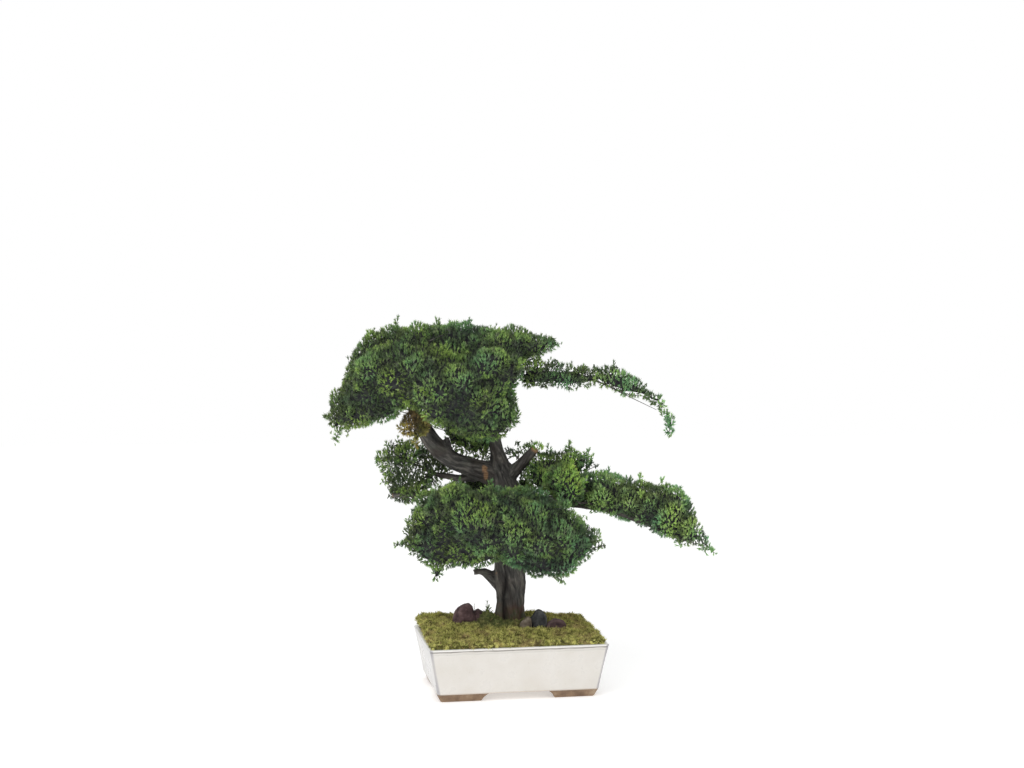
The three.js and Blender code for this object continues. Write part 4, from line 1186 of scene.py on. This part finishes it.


# heights of the two lines under the rim (the upper a painted shadow under the lip), the lip's foot and the
# glaze's lower edge
glaze = {"line": 0.1085, "faintLine": 0.1035, "lip": (0.1095, 0.1108), "lowerEdge": (0.0165, 0.0195)}


def glazeMaterial():
    shade = Shade("cream_glaze")
    z = shade.part("Z")
    mottled = shade.noise(22, 4)
    colour = shade.over(paint(225, 221, 215), paint(219, 214, 206), mottled, 0.35, 0.7)
    level = shade.sum("ADD", z, shade.between(shade.noise(30, 2), 0.3, 0.7, -0.0012, 0.0012))

    def offLine(height):
        return shade.sum("ABSOLUTE", shade.sum("SUBTRACT", level, height))

    def nearEdge(axis):  # how far out along an axis, as if the wall stood upright
        lean = shade.between(z, foot["height"], pot["height"], pot["taper"], 0)
        return shade.sum("ADD", shade.sum("ABSOLUTE", shade.part(axis)), lean)

    # a painted shadow under the lip, and a fainter grey band below it
    colour = shade.over(colour, paint(138, 132, 126), offLine(glaze["line"]), 0.0004, 0.0022, 0.75, 0)
    colour = shade.over(colour, paint(150, 144, 138), offLine(glaze["faintLine"]), 0.0005, 0.002, 0.18, 0)
    colour = shade.over(colour, paint(238, 236, 232), z, *glaze["lip"])
    colour = shade.over(colour, paint(176, 164, 146), shade.noise(260, 2), 0.62, 0.8, 0, 0.22)
    # the ends are a little greyer, as painted shade on the end faces, and a grey stripe runs down each
    # upright edge
    end = pot["width"] / 2
    colour = shade.over(colour, paint(206, 205, 206), nearEdge("X"), end - 1.5 * mm, end - 0.5 * mm, 0, 0.6)
    corner = (pot["width"] + pot["depth"]) / 2 - 0.586 * pot["corner"]
    both = shade.sum("ADD", nearEdge("X"), nearEdge("Y"))
    colour = shade.over(colour, paint(150, 148, 156), both, corner - 3.5 * mm, corner - 1 * mm, 0, 0.7)
    colour = shade.over(colour, paint(170, 150, 128), z, *glaze["lowerEdge"], 0.5, 0)
    shade.bump(shade.noise(46, 3), 0.0009, 0.16)
    return shade.done(colour, shade.between(mottled, 0.3, 0.7, 0.24, 0.36), 0.5)


def clayMaterial():
    shade = Shade("bare_clay")
    browns = [(0.3, paint(120, 98, 80)), (0.55, paint(156, 132, 108)), (0.75, paint(196, 178, 154))]
    grit = shade.noise(420, 3)
    colour = shade.over(shade.ramp(shade.noise(34, 4), browns), paint(96, 76, 60), grit, 0.4, 0.7, 0.3, 0)
    shade.bump(grit, 0.0005, 0.7)
    return shade.done(colour, 0.8, 0.25)


print("stage: pot")
finish(makePotBody(), glazeMaterial(), "pot")
finish(makeFeet(), clayMaterial(), "pot")


# moss, stones and weeds

def mossMaterial():
    shade = Shade("moss")
    greens = [(0.24, paint(70, 68, 36)), (0.5, paint(154, 156, 82)), (0.8, paint(232, 228, 140))]
    value = shade.sum("MULTIPLY", shade.noise(30, 3), 0.4)
    value = shade.sum("MULTIPLY_ADD", shade.attribute("tint"), 0.4, value)
    value = shade.sum("MULTIPLY_ADD", shade.attribute("along"), 0.35, value)
    colour = shade.ramp(value, greens)
    colour = shade.over(colour, paint(176, 152, 112), shade.noise(24, 3), 0.5, 0.66, 0, 0.7)  # dry
    # darker olive-brown patches for the gaps between tufts, partly soil and partly painted shade
    colour = shade.over(colour, paint(76, 72, 40), shade.noise(85, 4), 0.48, 0.58, 0, 0.7)  # gaps
    colour = shade.over(colour, paint(228, 224, 138), shade.noise(120, 3), 0.54, 0.62, 0, 0.75)  # fresh
    fromTrunk = shade.node("ShaderNodeVectorMath", {0: shade.coords, 1: place(-22, 2, 140)},
                           operation="DISTANCE").outputs["Value"]
    reach = shade.sum("MULTIPLY_ADD", shade.noise(34, 3), 0.06, fromTrunk)
    colour = shade.over(colour, paint(84, 98, 62), reach, 0.075, 0.11, 0.75, 0)
    return shade.done(colour, 0.9, 0.15)


def strawMaterial():
    shade = Shade("straw")
    colour = shade.mix(shade.attribute("tint"), paint(150, 122, 84), paint(206, 182, 138))
    return shade.done(colour, 0.8, 0.2)


moss, straw = mossMaterial(), strawMaterial()

tuft = {"blades": 6, "length": 10.5 * mm, "width": 2.2 * mm, "sunk": 1.5 * mm, "tilt": (0.3, 1.2)}
strawBit = {"half": 7 * mm, "radii": (0.35 * mm, 0.5 * mm, 0.3 * mm)}


def growTuft(seed):
    draw = random.Random(seed)
    growth = Growth()
    for i in range(tuft["blades"]):
        turn = fullTurn * i / tuft["blades"] + draw.uniform(-0.4, 0.4)
        towards = leaning(turn, draw.uniform(*tuft["tilt"]))
        length = tuft["length"] * draw.uniform(0.6, 1.1)
        growth.spike(Vector((0, 0, -tuft["sunk"])), towards, length, tuft["width"])
    return growth


def growStraw(seed):
    growth = Growth()
    bend, half = random.Random(seed).uniform(1, 3) * mm, strawBit["half"]
    path = [Vector((-half, 0, 0.5 * mm)), Vector((0, bend, 2.5 * mm)), Vector((half, 0, 1 * mm))]
    tube(growth, path, strawBit["radii"], 4)
    return growth


tufts = shapeGroup("tufts", 4, lambda i: growTuft(60 + i))
straws = shapeGroup("straws", 3, lambda i: growStraw(90 + i))

mossBed = {
    "voxel": 5 * mm, "passes": 3,
    "relief": 3.2,  # millimetres
    "overRim": (0.110, 0.114),  # heights from which it leans out over the rim
    "edges": ((0, 180 * mm), (1, 134 * mm)),  # how far it reaches along X and Y
    "dips": [(33, -52), (60, -38), (98, -36)],  # in front of the right stones, as [x, y]
    "dip": 6 * mm,
    # clumps by the left stone and the trunk's foot, and wide swells, as [x, y, height, reach]
    "rises": [(-48, 6, 17, 20), (-34, -8, 9, 20), (70, 60, 8, 40), (-150, 90, 6, 34), (-20, -80, 5, 30)],
    "lowest": 0.108,  # tufts and straw start above this height
}


def shapeMoss(points, normals, rough):
    points = points + normals * (rough * mossBed["relief"] * mm * (normals[:, 2] > 0))[:, None]
    above = smoothstep(*mossBed["overRim"], points[:, 2])
    for axis, half in mossBed["edges"]:
        reach = smoothstep(half - 22 * mm, half - 4 * mm, np.abs(points[:, axis]))
        spill = (2.2 + (4.2 + 1.6 * rough) * above) * mm
        points[:, axis] += np.sign(points[:, axis]) * reach * spill

    # 1 round a place and 0 far from it, on the upper side only
    def near(x, y, start, end):
        away = np.hypot(points[:, 0] - x * mm, points[:, 1] - y * mm)
        return (1 - smoothstep(start * mm, end * mm, away)) * (normals[:, 2] > 0)

    for x, y in mossBed["dips"]:
        points[:, 2] -= mossBed["dip"] * near(x, y, 14, 34)
    for x, y, rise, reach in mossBed["rises"]:
        points[:, 2] += rise * mm * near(x, y, 0.2 * reach, reach)
    return points


def makeMoss():
    bed = melted(solidCopy("moss", "moss_bed"), mossBed["voxel"], mossBed["passes"])
    mesh = bed.data
    points = getPoints(mesh)
    rough = noiseAt(points, 15 * mm, 3) + 0.6 * noiseAt(points, 7 * mm, 6)
    points = shapeMoss(points, getNormals(mesh), rough)
    setPoints(mesh, points)
    top = smoothstep(-0.3, 0.2, getNormals(mesh)[:, 2]) * (points[:, 2] > mossBed["lowest"])
    setValues(mesh, "cover", top)
    setValues(mesh, "hollow", np.zeros(len(points)))
    values = {"Shapes": tufts, "Spacing": 3.3 * mm, "Density": 80000.0, "Lift": 0.4, "Unrest": 0.6,
              "Smallest": 0.6, "Largest": 1.15, "Seed": 4, "Finish": moss}
    pile = scattered(bed, "moss_tufts", values)
    values.update({"Shapes": straws, "Spacing": 9 * mm, "Density": 5200.0, "Lift": 1.5, "Unrest": 0.8,
                   "Smallest": 0.7, "Largest": 1.3, "Seed": 9, "Finish": straw})
    bits = scattered(bed, "moss_straw", values)
    setValues(mesh, "tint", 0.35 + 0.3 * rough)
    return bed, pile, bits


print("stage: moss")
for piece, material in zip(makeMoss(), (moss, moss, straw)):
    finish(piece, material, "moss")


# one long straw that hangs over the rim
def makeRimStraw():
    growth = Growth()
    overRim = [Vector((168, -104, 124)) * mm, Vector((178, -114, 121)) * mm, Vector((187, -120, 116)) * mm]
    tube(growth, curveThrough(overRim, 6), [0.8 * mm] * 7, 5)
    obj = addMesh("rim_straw", growth.points, growth.faces)
    setValues(obj.data, "tint", [0.7] * len(growth.points))
    return obj


stoneColours = {
    "purple_stone": ((60, 44, 46), (100, 78, 78), (142, 118, 116)),
    "grey_stone": ((38, 38, 40), (74, 75, 76), (120, 120, 118)),
    "tan_stone": ((76, 66, 56), (124, 112, 98), (166, 156, 140)),
}
# each stone's kind, and how fine its mesh is in millimetres
stones = {
    "stone_left": ("purple_stone", 2.2), "stone_left_low": ("purple_stone", 1.8),
    "stone_tan": ("tan_stone", 1.7), "stone_dark": ("grey_stone", 1.9),
    "stone_right": ("purple_stone", 1.9), "stone_flat": ("grey_stone", 1.5),
}
# relief as [height, size] and an even swell, with heights in millimetres
crags = {"wide": (1.3, 14 * mm), "narrow": (0.7, 6 * mm), "swell": 1.2}


def stoneMaterial(name):
    shade = Shade(name)
    dark, middle, pale = (paint(*colour) for colour in stoneColours[name])
    colour = shade.ramp(shade.noise(60, 4), [(0.33, dark), (0.52, middle), (0.72, pale)])
    grain = shade.noise(500, 3)
    colour = shade.over(colour, dark, grain, 0.35, 0.65, 0.3, 0)
    shade.bump(shade.sum("ADD", shade.noise(170, 4), shade.sum("MULTIPLY", grain, 0.3)), 0.0016, 0.8)
    return shade.done(colour, 0.8, 0.3)


def makeStone(name, voxel):
    obj = melted(solidCopy(name, f"{name}_rough"), voxel * mm, 2)
    points, normals = getPoints(obj.data), getNormals(obj.data)
    (high, wide), (low, narrow) = crags["wide"], crags["narrow"]
    crag = high * noiseAt(points, wide, 1) + low * noiseAt(points, narrow, 2)
    setPoints(obj.data, points + normals * ((crag + crags["swell"]) * mm)[:, None])
    smoothed(obj.data)
    return obj


print("stage: stones and weeds")
stoneMaterials = {name: stoneMaterial(name) for name in stoneColours}
for name, (kind, voxel) in stones.items():
    finish(makeStone(name, voxel), stoneMaterials[kind], name)


weeds = {
    "weed_left": {"at": [-47, 44], "leaves": 14, "spread": 12, "seed": 41, "lowest": 0.35},
    "weed_thin": {"at": [-76, 40], "leaves": 6, "spread": 6, "seed": 42, "lowest": 0.35},
    "weed_bushy": {"at": [-44, 2], "leaves": 60, "spread": 19, "seed": 43, "lowest": 0.02},
}


# a flat-sided leaf that is pointed at both ends
def addLeaf(growth, start, towards, length):
    side = towards.cross(Vector((0, 0, 1))).normalized()
    thick = towards.cross(side) * 0.35 * mm
    first = len(growth.points)
    width = 0.16 * length
    middle = start + towards * 0.5 * length
    growth.points += [start, middle + side * width, middle + thick, middle - side * width, middle - thick,
                      start + towards * length]
    for j in range(4):
        a, b = first + 1 + j, first + 1 + (j + 1) % 4
        growth.faces += [(first, b, a), (a, b, first + 5)]


def makeWeed(name, weed):
    low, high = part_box(name)
    draw = random.Random(weed["seed"])
    foot = place(*weed["at"], 0)
    foot.z = low[2]
    height = high[2] - low[2] - 2 * mm
    growth = Growth()
    sway = Vector((draw.uniform(-3, 3), draw.uniform(-3, 3), 0)) * mm
    half, top = foot + Vector((0, 0, height / 2)) + sway, foot + Vector((0, 0, height)) + 0.5 * sway
    tube(growth, curveThrough([foot, half, top], 6), [(1.0 - 0.1 * j) * mm for j in range(7)], 6)
    for i in range(weed["leaves"]):
        share = weed["lowest"] + (0.97 - weed["lowest"]) * i / weed["leaves"]
        turn = 2.4 * i + draw.uniform(-0.3, 0.3)
        towards = Vector((math.cos(turn), math.sin(turn), draw.uniform(0.4, 1.1))).normalized()
        length = weed["spread"] * mm * draw.uniform(0.6, 1.05) * (1.15 - 0.5 * share)
        addLeaf(growth, foot + Vector((0, 0, share * height)), towards, length)
    obj = addMesh(f"{name}_leaves", growth.points, growth.faces)
    with editing(obj.data) as work:
        bmesh.ops.recalc_face_normals(work, faces=work.faces)
    return obj


def weedMaterial():
    shade = Shade("weed_leaf")
    colour = shade.ramp(shade.noise(160, 2), [(0.35, paint(70, 92, 44)), (0.65, paint(128, 150, 80))])
    return shade.done(colour, 0.6, 0.3)


weedLeaf = weedMaterial()
for name, weed in weeds.items():
    finish(makeWeed(name, weed), weedLeaf, name)
finish(makeRimStraw(), straw)


# the soil and the screens keep their solids' shape
def plainMaterial(name, dark, pale, scale, roughness):
    shade = Shade(name)
    grain = shade.noise(scale, 4)
    shade.bump(grain, 0.001, 0.6)
    return shade.done(shade.ramp(grain, [(0.35, dark), (0.65, pale)]), roughness, 0.3)


soil = plainMaterial("dark_soil", paint(40, 32, 26), paint(82, 66, 52), 240, 0.95)
netting = plainMaterial("grey_netting", paint(52, 54, 52), paint(72, 74, 72), 300, 0.55)
for name, material in (("soil", soil), ("drain_screen_left", netting), ("drain_screen_right", netting)):
    frame["nodes"][name].data.materials.clear()
    frame["nodes"][name].data.materials.append(material)

for group in (sprigs, innerSprigs, tufts, straws):
    for obj in list(group.objects):
        drop(obj)
    bpy.data.collections.remove(group)
bpy.data.node_groups.remove(scatter)


# studio

studio = {
    "floorHalf": 8, "floorGlow": 0.34,
    "lighting": 0.72, "background": 1.0,  # what lights the object, and what shows behind it
    "keySize": 2.6, "keyPower": 42, "keyAt": (-1.6, -2.2, 2.8), "keyAim": (0, 0, 0.4),
}
white = (1, 1, 1, 1)

print("stage: studio")
half = studio["floorHalf"]
floorCorners = [(-half, -half, 0), (half, -half, 0), (half, half, 0), (-half, half, 0)]
floor = addMesh("floor", floorCorners, [(0, 1, 2, 3)])
floorShade = Shade("floor")
floorColour = floorShade.mix(floorShade.noise(2, 2), (0.95, 0.95, 0.95, 1), (0.97, 0.97, 0.97, 1))
floor.data.materials.append(floorShade.done(floorColour, 0.9, 0.1))
floorShade.shader.inputs["Emission Color"].default_value = white
floorShade.shader.inputs["Emission Strength"].default_value = studio["floorGlow"]

world = scene.world or bpy.data.worlds.new("studio")
scene.world = world
world.use_nodes = True
background = world.node_tree.nodes["Background"]
background.inputs["Color"].default_value = white
seen = addNode(world.node_tree, "ShaderNodeLightPath").outputs["Is Camera Ray"]
brightness = addNode(world.node_tree, "ShaderNodeMapRange", {
    "Value": seen, "To Min": studio["lighting"], "To Max": studio["background"]}).outputs["Result"]
feed(world.node_tree, background.inputs["Strength"], brightness)

key = bpy.data.lights.new("key", "AREA")
key.shape = "DISK"
key.size = studio["keySize"]
key.energy = studio["keyPower"]
keyLight = bpy.data.objects.new("key", key)
scene.collection.objects.link(keyLight)
keyLight.location = studio["keyAt"]
keyLight.rotation_euler = (Vector(studio["keyAim"]) - keyLight.location).to_track_quat("-Z", "Y").to_euler()

print("triangles", sum(counts.values()), sorted(counts.items(), key=lambda item: -item[1])[:12])
